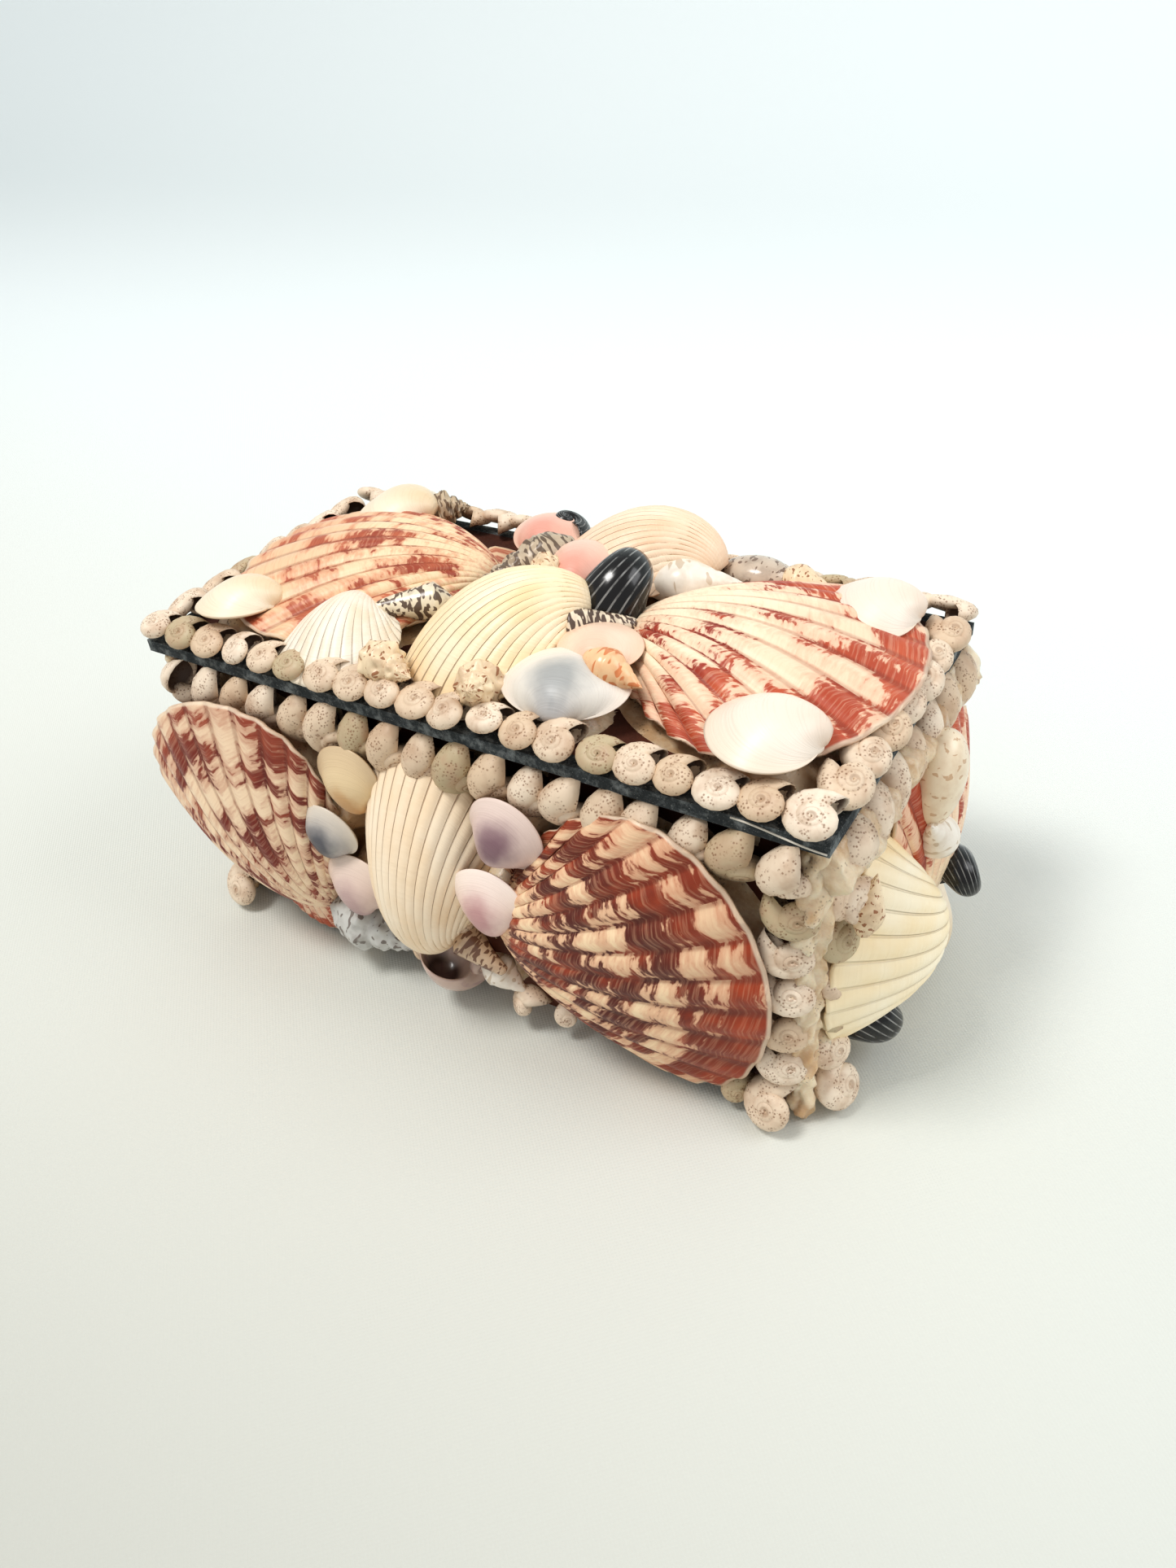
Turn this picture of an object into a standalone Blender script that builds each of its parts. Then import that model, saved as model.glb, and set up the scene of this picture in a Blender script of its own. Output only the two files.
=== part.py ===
# Shell box: a small box with a lift-off lid, both covered all over with glued sea shells.
# Metres, +Z up. The origin is the centre of the underside, +X runs along the length and
# the front faces -Y.
#
# The shells are laid in the order in which a maker glues them: first the rows of small
# snails along every edge, then the big scallops and cockles, then the smaller shells on
# top and in the gaps. Each new shell is cut clear of all that lies there already.

import math

import bmesh
import bpy
import numpy as np
from mathutils import Matrix, Vector

MM = 0.001

# Box and lid
LID_LENGTH = 205 * MM
LID_DEPTH = 100 * MM
LID_THICKNESS = 3.6 * MM
LID_OVERHANG = 6 * MM
BOX_HEIGHT = 92.4 * MM
WALL = 4 * MM
FLOOR_THICKNESS = 4 * MM
REBATE_DEPTH = 2.5 * MM
REBATE_CLEARANCE = 0.5 * MM
GAP = 0.3 * MM

# Snails along the edges
LID_SNAIL_PITCH = 10.4 * MM
LID_SNAIL_LENGTH = 12.4 * MM
LID_SNAIL_HEIGHT = 7.4 * MM
END_SNAIL_PITCH = 11.6 * MM
END_SNAIL_LENGTH = 13.6 * MM
RIM_SNAIL_PITCH = 11 * MM
RIM_SNAIL_LENGTH = 14 * MM
COLUMN_SNAIL_PITCH = 12.6 * MM
COLUMN_SNAIL_WIDTH = 13 * MM
WALL_SNAIL_HEIGHT = 7.4 * MM
CORNER_STAND_OUT = 2.6 * MM
CORNER_FREE_SHARE = 0.64

# Plans in mm, across and up, that the shells of each side are drawn for
LID_PLAN = (205, 100)
LONG_PLAN = (193, 92.4)
END_PLAN = (88, 92.4)

# How much larger than a shell its envelope is, as a share of it
VALVE_ENVELOPE = 0.10
TURNED_ENVELOPE = 0.05
EGG_ENVELOPE = 0.03

# Worked out from those
BOX_LENGTH = LID_LENGTH - 2 * LID_OVERHANG
BOX_DEPTH = LID_DEPTH - 2 * LID_OVERHANG
LID_UNDERSIDE = BOX_HEIGHT + GAP
LID_TOP = LID_UNDERSIDE + LID_THICKNESS
SHELL_GAP = 1.3 * GAP
FLOOR_GAP = 2 * GAP
FAR = 2 * LID_LENGTH
NUDGES = (0, 0.11 * MM, -0.12 * MM, 0.25 * MM, -0.28 * MM, 0.43 * MM)


def clear_scene():
    """Remove every object, so that the script can be run again in the same file."""
    for old in list(bpy.data.objects):
        bpy.data.objects.remove(old, do_unlink=True)


def new_collection(name):
    """A fresh collection under the scene's own."""
    collection = bpy.data.collections.get(name) or bpy.data.collections.new(name)
    if collection.name not in bpy.context.scene.collection.children:
        bpy.context.scene.collection.children.link(collection)
    return collection


clear_scene()
PARTS = new_collection("shell_box")
CUTTERS = new_collection("cutters")
LAID = []


def paint(piece, colour, roughness):
    """Give a piece its own Principled material."""
    material = bpy.data.materials.new(piece.name)
    material.use_nodes = True
    shader = material.node_tree.nodes["Principled BSDF"]
    shader.inputs["Base Color"].default_value = (*colour, 1.0)
    shader.inputs["Roughness"].default_value = roughness
    shader.inputs["Metallic"].default_value = 0.0
    piece.data.materials.clear()
    piece.data.materials.append(material)


CREAM = (0.86, 0.78, 0.62)
WHITE = (0.88, 0.86, 0.80)
CORAL = (0.72, 0.34, 0.24)
MAROON = (0.45, 0.16, 0.11)
SNAIL_BEIGE = (0.66, 0.54, 0.43)
BLACK = (0.02, 0.02, 0.022)
GREY_BROWN = (0.38, 0.31, 0.25)
PINK = (0.80, 0.58, 0.50)
LILAC = (0.55, 0.44, 0.50)
BLUE_GREY = (0.58, 0.62, 0.66)
BOARD_BROWN = (0.10, 0.055, 0.035)


class Face:
    """One side of the box: a frame with its first two axes in the side and the third out.

    The shells on a side are drawn for a plan of so many mm across and up, and the whole
    plan stretches with the side, so that the shells fill it at any size.
    """

    def __init__(self, centre, across, up, size, plan):
        self.out = Vector(across).cross(Vector(up))
        self.frame = Matrix((
            (across[0], up[0], self.out[0], centre[0]),
            (across[1], up[1], self.out[1], centre[1]),
            (across[2], up[2], self.out[2], centre[2]),
            (0, 0, 0, 1),
        ))
        self.half_across = size[0] / 2
        self.half_up = size[1] / 2
        wider = size[0] / (plan[0] * MM)
        taller = size[1] / (plan[1] * MM)
        self.stretch = (wider, taller, math.sqrt(wider * taller))

    def spot(self, across, up, lift):
        """A place on the side: shares of its half sizes, and a height above it in mm."""
        height = lift * MM * self.stretch[2]
        place = Matrix.Translation((across * self.half_across, up * self.half_up, height))
        return self.frame @ place @ Matrix.Diagonal((*self.stretch, 1))


MIDDLE = BOX_HEIGHT / 2
LID_SIZE = (LID_LENGTH, LID_DEPTH)
LONG_SIZE = (BOX_LENGTH, BOX_HEIGHT)
END_SIZE = (BOX_DEPTH, BOX_HEIGHT)
LID = Face((0, 0, LID_TOP), (1, 0, 0), (0, 1, 0), LID_SIZE, LID_PLAN)
FRONT = Face((0, -BOX_DEPTH / 2, MIDDLE), (1, 0, 0), (0, 0, 1), LONG_SIZE, LONG_PLAN)
BACK = Face((0, BOX_DEPTH / 2, MIDDLE), (-1, 0, 0), (0, 0, 1), LONG_SIZE, LONG_PLAN)
RIGHT = Face((BOX_LENGTH / 2, 0, MIDDLE), (0, 1, 0), (0, 0, 1), END_SIZE, END_PLAN)
LEFT = Face((-BOX_LENGTH / 2, 0, MIDDLE), (0, -1, 0), (0, 0, 1), END_SIZE, END_PLAN)


def block(name, low, high, collection):
    """A box between two corners."""
    bm = bmesh.new()
    bmesh.ops.create_cube(bm, size=1.0)
    for vert in bm.verts:
        vert.co = Vector([a + (0.5 + c) * (b - a) for a, b, c in zip(low, high, vert.co)])
    return finish_mesh(name, bm, collection)


def finish_mesh(name, bm, collection):
    """Turn a bmesh into an object, hidden and drawn as wire if it is a cutter."""
    bmesh.ops.recalc_face_normals(bm, faces=bm.faces)
    mesh = bpy.data.meshes.new(name)
    bm.to_mesh(mesh)
    bm.free()
    piece = bpy.data.objects.new(name, mesh)
    collection.objects.link(piece)
    if collection is CUTTERS:
        piece.hide_render = True
        piece.display_type = "WIRE"
    return piece


def boolean(piece, other, operation):
    """Add an exact Boolean modifier."""
    modifier = piece.modifiers.new(operation.lower() + "_" + other.name, "BOOLEAN")
    modifier.operation = operation
    modifier.solver = "EXACT"
    modifier.object = other


def volume_inside(faces):
    """The volume inside a closed set of faces."""
    total = 0.0
    for face in faces:
        corners = [vert.co for vert in face.verts]
        for a, b in zip(corners[1:], corners[2:]):
            total += corners[0].dot(a.cross(b)) / 6
    return total


def largest_body(bm):
    """Delete every island but the one with the largest volume."""
    todo = set(bm.faces)
    islands = []
    while todo:
        island = {todo.pop()}
        edge_of_search = list(island)
        while edge_of_search:
            face = edge_of_search.pop()
            for edge in face.edges:
                for other in edge.link_faces:
                    if other in todo:
                        todo.discard(other)
                        island.add(other)
                        edge_of_search.append(other)
        islands.append(island)
    if len(islands) < 2:
        return
    keep = max(islands, key=volume_inside)
    spare = [face for island in islands if island is not keep for face in island]
    bmesh.ops.delete(bm, geom=spare, context="FACES")
    loose = [vert for vert in bm.verts if not vert.link_faces]
    bmesh.ops.delete(bm, geom=loose, context="VERTS")


def settle(piece):
    """Replace a piece's mesh by what its modifiers make of it, as one body."""
    evaluated = piece.evaluated_get(bpy.context.evaluated_depsgraph_get())
    mesh = bpy.data.meshes.new_from_object(evaluated)
    piece.modifiers.clear()
    bm = bmesh.new()
    bm.from_mesh(mesh)
    bmesh.ops.dissolve_degenerate(bm, dist=0.02 * MM, edges=bm.edges)
    bmesh.ops.remove_doubles(bm, verts=bm.verts, dist=0.002 * MM)
    bmesh.ops.triangulate(bm, faces=bm.faces)
    largest_body(bm)
    bm.to_mesh(mesh)
    bm.free()
    mesh.name = piece.name
    piece.data = mesh


def is_sound(mesh, least_volume):
    """Whether a mesh is large enough and every edge and corner of it is clean."""
    bm = bmesh.new()
    bm.from_mesh(mesh)
    edges_clean = all(edge.is_manifold and edge.is_contiguous for edge in bm.edges)
    clean = edges_clean and all(vert.is_manifold for vert in bm.verts)
    large = bm.calc_volume() > least_volume
    bm.free()
    return clean and large


def volume_of(mesh):
    """The volume inside a closed mesh."""
    bm = bmesh.new()
    bm.from_mesh(mesh)
    volume = bm.calc_volume()
    bm.free()
    return volume


def box_of(piece):
    """The lowest and highest corners of a piece."""
    corners = [vert.co for vert in piece.data.vertices]
    low = [min(corner[i] for corner in corners) for i in range(3)]
    high = [max(corner[i] for corner in corners) for i in range(3)]
    return low, high


def boxes_meet(first, second):
    """Whether the boxes of two pieces overlap."""
    low_a, high_a = box_of(first)
    low_b, high_b = box_of(second)
    return all(low_a[i] < high_b[i] and low_b[i] < high_a[i] for i in range(3))


def lay(piece, envelope, side, colour, roughness=0.5):
    """Cut a shell clear of all that lies there already, then count it as laid.

    The envelope is a plainer and slightly larger copy, which later shells are cut by. A
    cut that leaves an edge open is made again with the shell moved out by a hair.
    """
    whole = piece.data
    least_volume = 0.1 * volume_of(whole)
    nearby = [other for other in LAID if boxes_meet(piece, other)]
    for nudge in NUDGES:
        piece.data = whole.copy()
        piece.data.transform(Matrix.Translation(side.out * nudge))
        for other in nearby:
            boolean(piece, other, "DIFFERENCE")
        bpy.context.view_layer.update()
        settle(piece)
        if is_sound(piece.data, least_volume):
            break
    piece.data.shade_smooth()
    piece.data.set_sharp_from_angle(angle=math.radians(40))
    paint(piece, colour, roughness)
    LAID.append(envelope)
    return piece


def enlarge(piece, share):
    """Make an envelope larger about its middle, by a share and by the gap."""
    points = [vert.co for vert in piece.data.vertices]
    for axis in range(3):
        low = min(point[axis] for point in points)
        high = max(point[axis] for point in points)
        middle = (low + high) / 2
        factor = 1 + share + 2 * SHELL_GAP / (high - low)
        for point in points:
            point[axis] = middle + (point[axis] - middle) * factor
    return piece


def loft(name, rings, apex, foot, collection):
    """A closed body through a list of closed rings, from a foot corner to a top corner."""
    bm = bmesh.new()
    rows = [[bm.verts.new(point) for point in ring] for ring in rings]
    count = len(rows[0])
    for lower, upper in zip(rows, rows[1:]):
        for i in range(count):
            j = (i + 1) % count
            bm.faces.new((lower[i], lower[j], upper[j], upper[i]))
    top = bm.verts.new(apex)
    for i in range(count):
        bm.faces.new((rows[-1][i], rows[-1][(i + 1) % count], top))
    bottom = bm.verts.new(foot)
    for i in range(count):
        bm.faces.new((rows[0][(i + 1) % count], rows[0][i], bottom))
    return finish_mesh(name, bm, collection)


def valve_outline(length, width, columns, pinch, ears):
    """The margin of one valve, from the hinge round to the hinge again.

    It is an oval whose sides are drawn in towards the hinge, with two ears if asked for.
    """
    reach = math.radians(135 if ears else 163)
    angle = np.linspace(-reach, reach, columns)
    drawn_in = 1 - pinch * ((1 - np.cos(angle)) / 2) ** 2
    x = width / 2 * np.sin(angle) * drawn_in
    y = length / 2 * (1 + np.cos(angle))
    if ears:
        ear_x = np.array([0.262, 0.245]) * width
        ear_y = np.array([0.12, 0.015]) * length
        x = np.concatenate([-ear_x[::-1], x, ear_x])
        y = np.concatenate([ear_y[::-1], y, ear_y])
    return x, y


def valve(name, length, width, form, depth, collection=None):
    """One valve of a scallop, cockle or clam with the glue below it, its hinge at the origin.

    A valve grows by making its margin larger and turning it about the hinge, so a growth
    stage turned by t is the outline times exp(-spiral * t). Ribs are every second column,
    raised by rib at the margin and less towards the beak. The glue narrows to a point at
    the depth given and is later cut off by what it meets.
    """
    x, y = valve_outline(length, width, form["columns"], form["pinch"], form["ears"])
    rib = form["rib"] * length
    ridge = rib * (np.arange(len(x)) % 2 * 2 - 1)
    if form["ears"]:
        ridge[:2] = 0
        ridge[-2:] = 0
    rings = []
    for turn in np.radians(form["turns"][:-1]):
        size = math.exp(-form["spiral"] * turn)
        reach = np.hypot(x, y)
        near = 1 + ridge / np.maximum(reach, rib + MM) * math.cos(turn)
        raised = ridge * size * (y / length) ** 0.5 * math.sin(min(4 * turn, math.pi / 2))
        flat_y = y * near * size
        ring_y = flat_y * math.cos(turn)
        ring_z = flat_y * math.sin(turn) + raised
        rings.append(list(zip(x * near * size, ring_y, ring_z)))
    last = math.radians(form["turns"][-1])
    tip = length / 2 * math.exp(-form["spiral"] * last)
    apex = (0, tip * math.cos(last), tip * math.sin(last))
    return loft(name, rings, apex, (0, length / 2, -depth), collection or PARTS)


def turned(name, profile, segments, collection=None):
    """A turned body: a profile at +X, top to bottom along Z, with a Screw modifier."""
    bm = bmesh.new()
    verts = [bm.verts.new((radius, 0, height)) for radius, height in profile]
    for upper, lower in zip(verts, verts[1:]):
        bm.edges.new((upper, lower))
    mesh = bpy.data.meshes.new(name)
    bm.to_mesh(mesh)
    bm.free()
    piece = bpy.data.objects.new(name, mesh)
    PARTS.objects.link(piece)
    screw = piece.modifiers.new("turn", "SCREW")
    screw.steps = segments
    screw.render_steps = segments
    screw.use_merge_vertices = True
    screw.merge_threshold = 0.01 * MM
    bpy.context.view_layer.update()
    settle(piece)
    bm = bmesh.new()
    bm.from_mesh(piece.data)
    bpy.data.objects.remove(piece, do_unlink=True)
    bmesh.ops.remove_doubles(bm, verts=bm.verts, dist=0.01 * MM)
    bmesh.ops.rotate(bm, verts=bm.verts, matrix=Matrix.Rotation(math.radians(-90), 3, "X"))
    return finish_mesh(name, bm, collection or PARTS)


def place(piece, side, spot, heading, tilt, roll, centre):
    """Turn a piece to its heading on a side, then lift its far end and its left side."""
    turn = Matrix.Rotation(math.radians(heading - 90), 4, "Z")
    pitch = Matrix.Rotation(math.radians(tilt), 4, "X")
    bank = Matrix.Rotation(math.radians(roll), 4, "Y")
    middle = Matrix.Translation(centre)
    piece.data.transform(side.spot(*spot) @ turn @ pitch @ bank @ middle)


SCALLOP = {
    "spiral": 2.0, "turns": (0, 9, 30, 90), "columns": 21, "pinch": 0.55, "rib": 0.010,
    "ears": True, "wide": 1.2,
}
COCKLE = {
    "spiral": 0.82, "turns": (0, 26, 66, 140), "columns": 15, "pinch": 0.0,
    "rib": 0.009, "ears": False, "wide": 1.0,
}
FLAT_COCKLE = {**COCKLE, "spiral": 1.25, "turns": (0, 30, 110), "columns": 13}
CLAM = {
    "spiral": 1.05, "turns": (0, 32, 110), "columns": 9, "pinch": 0.0, "rib": 0.0,
    "ears": False, "wide": 1.3,
}


def glue_depth(lift):
    """How deep the glue under a raised shell goes, past the surface that carries it."""
    return 1.7 * lift * MM + 2 * MM


def lay_valve(form, name, side, spot, heading, length, colour, tilt=0, roll=0, wide=None):
    """Lay one valve. The spot is (across, up, lift), and the heading runs hinge to margin."""
    size = length * MM
    width = size * (wide or form["wide"])
    depth = glue_depth(spot[2])
    piece = valve(name, size, width, form, depth)
    bare = {**form, "columns": 12, "rib": 0.0, "pinch": 0.65 * form["pinch"]}
    envelope = enlarge(valve("clear_" + name, size, width, bare, depth, CUTTERS), VALVE_ENVELOPE)
    for shape in (piece, envelope):
        place(shape, side, spot, heading, tilt, roll, (0, -size / 2, 0))
    return lay(piece, envelope, side, colour)


def scallop(*args, **kwargs):
    """A big ribbed fan, a little wider than long, with ears at the hinge."""
    return lay_valve(SCALLOP, *args, **kwargs)


def cockle(*args, **kwargs):
    """A ribbed, deeply domed valve with a curled beak."""
    return lay_valve(COCKLE, *args, **kwargs)


def flat_cockle(*args, **kwargs):
    """A ribbed valve with a lower dome."""
    return lay_valve(FLAT_COCKLE, *args, **kwargs)


def clam(*args, **kwargs):
    """A smooth oval valve, wider than it is long."""
    return lay_valve(CLAM, *args, **kwargs)


def whelk_profile(length, width, whorls):
    """A spindle: a stepped spire above a full body whorl that narrows to its foot."""
    shoulder = 0.42 * length
    points = [(0.0, length)]
    for i in range(1, whorls + 1):
        share = i / (whorls + 1)
        height = length - (length - shoulder) * share
        radius = width / 2 * share ** 0.85
        points.append((radius, height + 0.035 * length))
        points.append((radius * 0.93, height - 0.02 * length))
    points.append((width / 2, shoulder))
    points.append((0.44 * width, 0.24 * length))
    points.append((0.17 * width, 0.04 * length))
    points.append((0.0, 0.0))
    return points


def cone_profile(length, width):
    """A cone shell: a low spire on a wide shoulder, then a long straight taper."""
    return [
        (0.0, length),
        (0.30 * width, 0.90 * length),
        (0.48 * width, 0.78 * length),
        (0.47 * width, 0.66 * length),
        (0.20 * width, 0.12 * length),
        (0.0, 0.0),
    ]


def lay_turned(profile, name, side, spot, heading, length, colour, tilt=0):
    """Lay a turned shell on its side, with the far end of its profile along the heading."""
    piece = turned(name, profile, 6)
    radii = np.maximum.accumulate([radius for radius, _ in profile[:-4]])
    bare = [(radius, height) for radius, (_, height) in zip(radii, profile)] + profile[-4:]
    envelope = enlarge(turned("clear_" + name, bare, 6, CUTTERS), TURNED_ENVELOPE)
    for shape in (piece, envelope):
        place(shape, side, spot, heading, tilt, 0, (0, -length * MM / 2, 0))
    return lay(piece, envelope, side, colour, 0.35)


def whelk(name, side, spot, heading, size, colour, tilt=0, whorls=2):
    """A pointed spiral shell: its spire lies along the heading. Size is (length, width)."""
    profile = whelk_profile(size[0] * MM, size[1] * MM, whorls)
    return lay_turned(profile, name, side, spot, heading, size[0], colour, tilt)


def cone(name, side, spot, heading, size, colour, tilt=0):
    """A cone shell: its wide end lies along the heading. Size is (length, width)."""
    profile = cone_profile(size[0] * MM, size[1] * MM)
    return lay_turned(profile, name, side, spot, heading, size[0], colour, tilt)


def ovoid(name, size, segments, rings, blunt, collection):
    """A smooth egg along Y with a blunter far end. Size is (length, width, height)."""
    length, width, height = (value * MM for value in size)
    bm = bmesh.new()
    bmesh.ops.create_uvsphere(bm, u_segments=segments, v_segments=rings, radius=1.0)
    bmesh.ops.rotate(bm, verts=bm.verts, matrix=Matrix.Rotation(math.radians(90), 3, "X"))
    for vert in bm.verts:
        fullness = 1 + blunt * vert.co.y
        vert.co.x *= fullness * width / 2
        vert.co.z *= fullness * height / 2
        vert.co.y *= length / 2
    return finish_mesh(name, bm, collection)


def egg(name, side, spot, heading, size, colour, tilt=0, roll=0):
    """A smooth round shell: a nerite, a cowrie or a moon shell."""
    piece = ovoid(name, size, 8, 6, 0.1, PARTS)
    envelope = enlarge(ovoid("clear_" + name, size, 8, 6, 0.1, CUTTERS), EGG_ENVELOPE)
    for shape in (piece, envelope):
        place(shape, side, spot, heading, tilt, roll, (0, 0, 0))
    return lay(piece, envelope, side, colour, 0.25)


SNAIL_SECTION = ((-1.0, 0.0), (-0.86, 0.66), (0.0, 1.0), (0.86, 0.66), (1.0, 0.0))
SNAIL_STATIONS = ((0.0, 0.68, 0.55), (0.52, 1.0, 1.0))


def evenly(low, high, pitch):
    """Starts along a run, as near to the pitch as a whole number of steps allows."""
    count = max(2, round((high - low) / pitch))
    return np.linspace(low, high, count + 1)


def straight(start, end, pitch, length, height):
    """Sections of a straight string of snails from one point of a side to another.

    Each section is (across, up, sideways across, sideways up, height). A snail has a
    narrow section where it touches the one before it, and a full one.
    """
    start = np.array(start)
    end = np.array(end)
    run = np.linalg.norm(end - start)
    along = (end - start) / run
    sideways = np.array((-along[1], along[0])) * length / 2
    steps = evenly(0, run, pitch)
    sections = []
    for i, (low, high) in enumerate(zip(steps, steps[1:])):
        grow = 1 + 0.06 * math.sin(2.4 * i)
        for share, wide, tall in SNAIL_STATIONS:
            point = start + along * (low + share * (high - low))
            sections.append((*point, *(sideways * wide * grow), height * tall * grow))
    _, wide, tall = SNAIL_STATIONS[0]
    sections.append((*end, *(sideways * wide), height * tall))
    return sections


def bar(sections, past):
    """The plain bar that a straight string fits in, at full size and past it at both ends."""
    tallest = max(section[4] for section in sections)
    widest = max(math.hypot(section[2], section[3]) for section in sections)
    start = np.array(sections[0][:2])
    end = np.array(sections[-1][:2])
    along = (end - start) / np.linalg.norm(end - start)
    sideways = np.array((-along[1], along[0])) * widest
    first = (*(start - along * past), *sideways, tallest)
    last = (*(end + along * past), *sideways, tallest)
    return [first, last]


def string(name, side, sections, collection, swell=0.0):
    """A closed body through the sections of a string, swollen by a gap for a cutter."""
    bm = bmesh.new()
    rows = []
    foot = -GAP if swell else GAP
    for across, up, side_across, side_up, height in sections:
        reach = math.hypot(side_across, side_up)
        grow = (reach + swell) / reach
        row = []
        for sideways, out in SNAIL_SECTION:
            x = across + side_across * sideways * grow
            y = up + side_up * sideways * grow
            z = foot + out * (height + GAP - foot + swell)
            row.append(bm.verts.new(side.frame @ Vector((x, y, z))))
        rows.append(row)
    count = len(SNAIL_SECTION)
    for lower, upper in zip(rows, rows[1:]):
        for i in range(count):
            j = (i + 1) % count
            bm.faces.new((lower[i], lower[j], upper[j], upper[i]))
    bm.faces.new(list(reversed(rows[0])))
    bm.faces.new(rows[-1])
    return finish_mesh(name, bm, collection)


def lay_string(name, side, sections):
    """Lay a string of snails."""
    piece = string(name, side, sections, PARTS)
    piece.data.shade_smooth()
    piece.data.set_sharp_from_angle(angle=math.radians(40))
    paint(piece, SNAIL_BEIGE, 0.6)


def keep_clear(name, side, sections, past):
    """The bar round a straight run of snails that later shells are cut by."""
    LAID.append(string("clear_" + name, side, bar(sections, past), CUTTERS, SHELL_GAP))


def lid_rows():
    """Snails along the four edges of the lid, side by side."""
    half = LID.half_across
    depth = LID.half_up - LID_SNAIL_LENGTH / 2
    for name, up in (("lid_snails_front", -depth), ("lid_snails_back", depth)):
        ends = ((-half, up), (half, up))
        row = straight(*ends, LID_SNAIL_PITCH, LID_SNAIL_LENGTH, LID_SNAIL_HEIGHT)
        lay_string(name, LID, row)
        keep_clear(name, LID, row, MM)
    inner = LID.half_up - LID_SNAIL_LENGTH - 2 * SHELL_GAP
    out = half - END_SNAIL_LENGTH / 2
    for name, across in (("lid_snails_left", -out), ("lid_snails_right", out)):
        ends = ((across, -inner), (across, inner))
        row = straight(*ends, END_SNAIL_PITCH, END_SNAIL_LENGTH, LID_SNAIL_HEIGHT)
        lay_string(name, LID, row)
        keep_clear(name, LID, row, MM)


def wall_frames():
    """Snails round three edges of each wall: up one corner, along the rim and down again."""
    top = MIDDLE - GAP
    rim = top - RIM_SNAIL_LENGTH / 2
    low = -MIDDLE + 2 * GAP
    sides = (
        ("front_snails", FRONT, CORNER_STAND_OUT),
        ("back_snails", BACK, CORNER_STAND_OUT),
        ("right_snails", RIGHT, -GAP),
        ("left_snails", LEFT, -GAP),
    )
    column_size = (COLUMN_SNAIL_PITCH, COLUMN_SNAIL_WIDTH, WALL_SNAIL_HEIGHT)
    rim_size = (RIM_SNAIL_PITCH, RIM_SNAIL_LENGTH, WALL_SNAIL_HEIGHT)
    for name, side, past_corner in sides:
        end = side.half_across + past_corner
        column = end - COLUMN_SNAIL_WIDTH / 2
        turn = column - CORNER_FREE_SHARE * COLUMN_SNAIL_WIDTH
        below = rim - CORNER_FREE_SHARE * RIM_SNAIL_LENGTH
        going_up = straight((-column, low), (-column, below), *column_size)
        along = straight((-turn, rim), (turn, rim), *rim_size)
        going_down = straight((column, below), (column, low), *column_size)
        bend = COLUMN_SNAIL_WIDTH / 2
        tall = 0.94 * WALL_SNAIL_HEIGHT
        left_corner = [(-column, rim, -bend, bend, tall)]
        right_corner = [(column, rim, bend, bend, tall)]
        lay_string(name, side, going_up + left_corner + along + right_corner + going_down)
        keep_clear(name + "_rim", side, along, end - turn)
        keep_clear(name + "_first", side, going_up, top - below)
        keep_clear(name + "_last", side, going_down, top - below)


def carcass():
    """The box itself: four walls and a floor, open at the top."""
    half_x = BOX_LENGTH / 2
    half_y = BOX_DEPTH / 2
    box = block("box_carcass", (-half_x, -half_y, 0), (half_x, half_y, BOX_HEIGHT), PARTS)
    inside_low = (-half_x + WALL, -half_y + WALL, FLOOR_THICKNESS)
    inside_high = (half_x - WALL, half_y - WALL, BOX_HEIGHT + WALL)
    inside = block("box_inside", inside_low, inside_high, CUTTERS)
    boolean(box, inside, "DIFFERENCE")
    paint(box, BOARD_BROWN, 0.75)
    edge = GAP
    low = (-half_x - edge, -half_y - edge, -FAR)
    high = (half_x + edge, half_y + edge, BOX_HEIGHT)
    LAID.append(block("clear_box", low, high, CUTTERS))
    LAID.append(block("clear_ground", (-FAR, -FAR, -FAR), (FAR, FAR, FLOOR_GAP), CUTTERS))


def lid_board():
    """The lid's board, with a shallow step below that drops into the box."""
    half_x = LID_LENGTH / 2
    half_y = LID_DEPTH / 2
    low = (-half_x, -half_y, LID_UNDERSIDE)
    board = block("lid_board", low, (half_x, half_y, LID_TOP), PARTS)
    step_x = BOX_LENGTH / 2 - WALL - REBATE_CLEARANCE
    step_y = BOX_DEPTH / 2 - WALL - REBATE_CLEARANCE
    step_low = (-step_x, -step_y, LID_UNDERSIDE - REBATE_DEPTH)
    step_high = (step_x, step_y, LID_UNDERSIDE + LID_THICKNESS / 2)
    step = block("lid_step", step_low, step_high, CUTTERS)
    boolean(board, step, "UNION")
    paint(board, BOARD_BROWN, 0.8)
    edge = GAP
    low = (-half_x - edge, -half_y - edge, LID_UNDERSIDE - edge)
    high = (half_x + edge, half_y + edge, LID_TOP + edge)
    LAID.append(block("clear_lid", low, high, CUTTERS))


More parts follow.
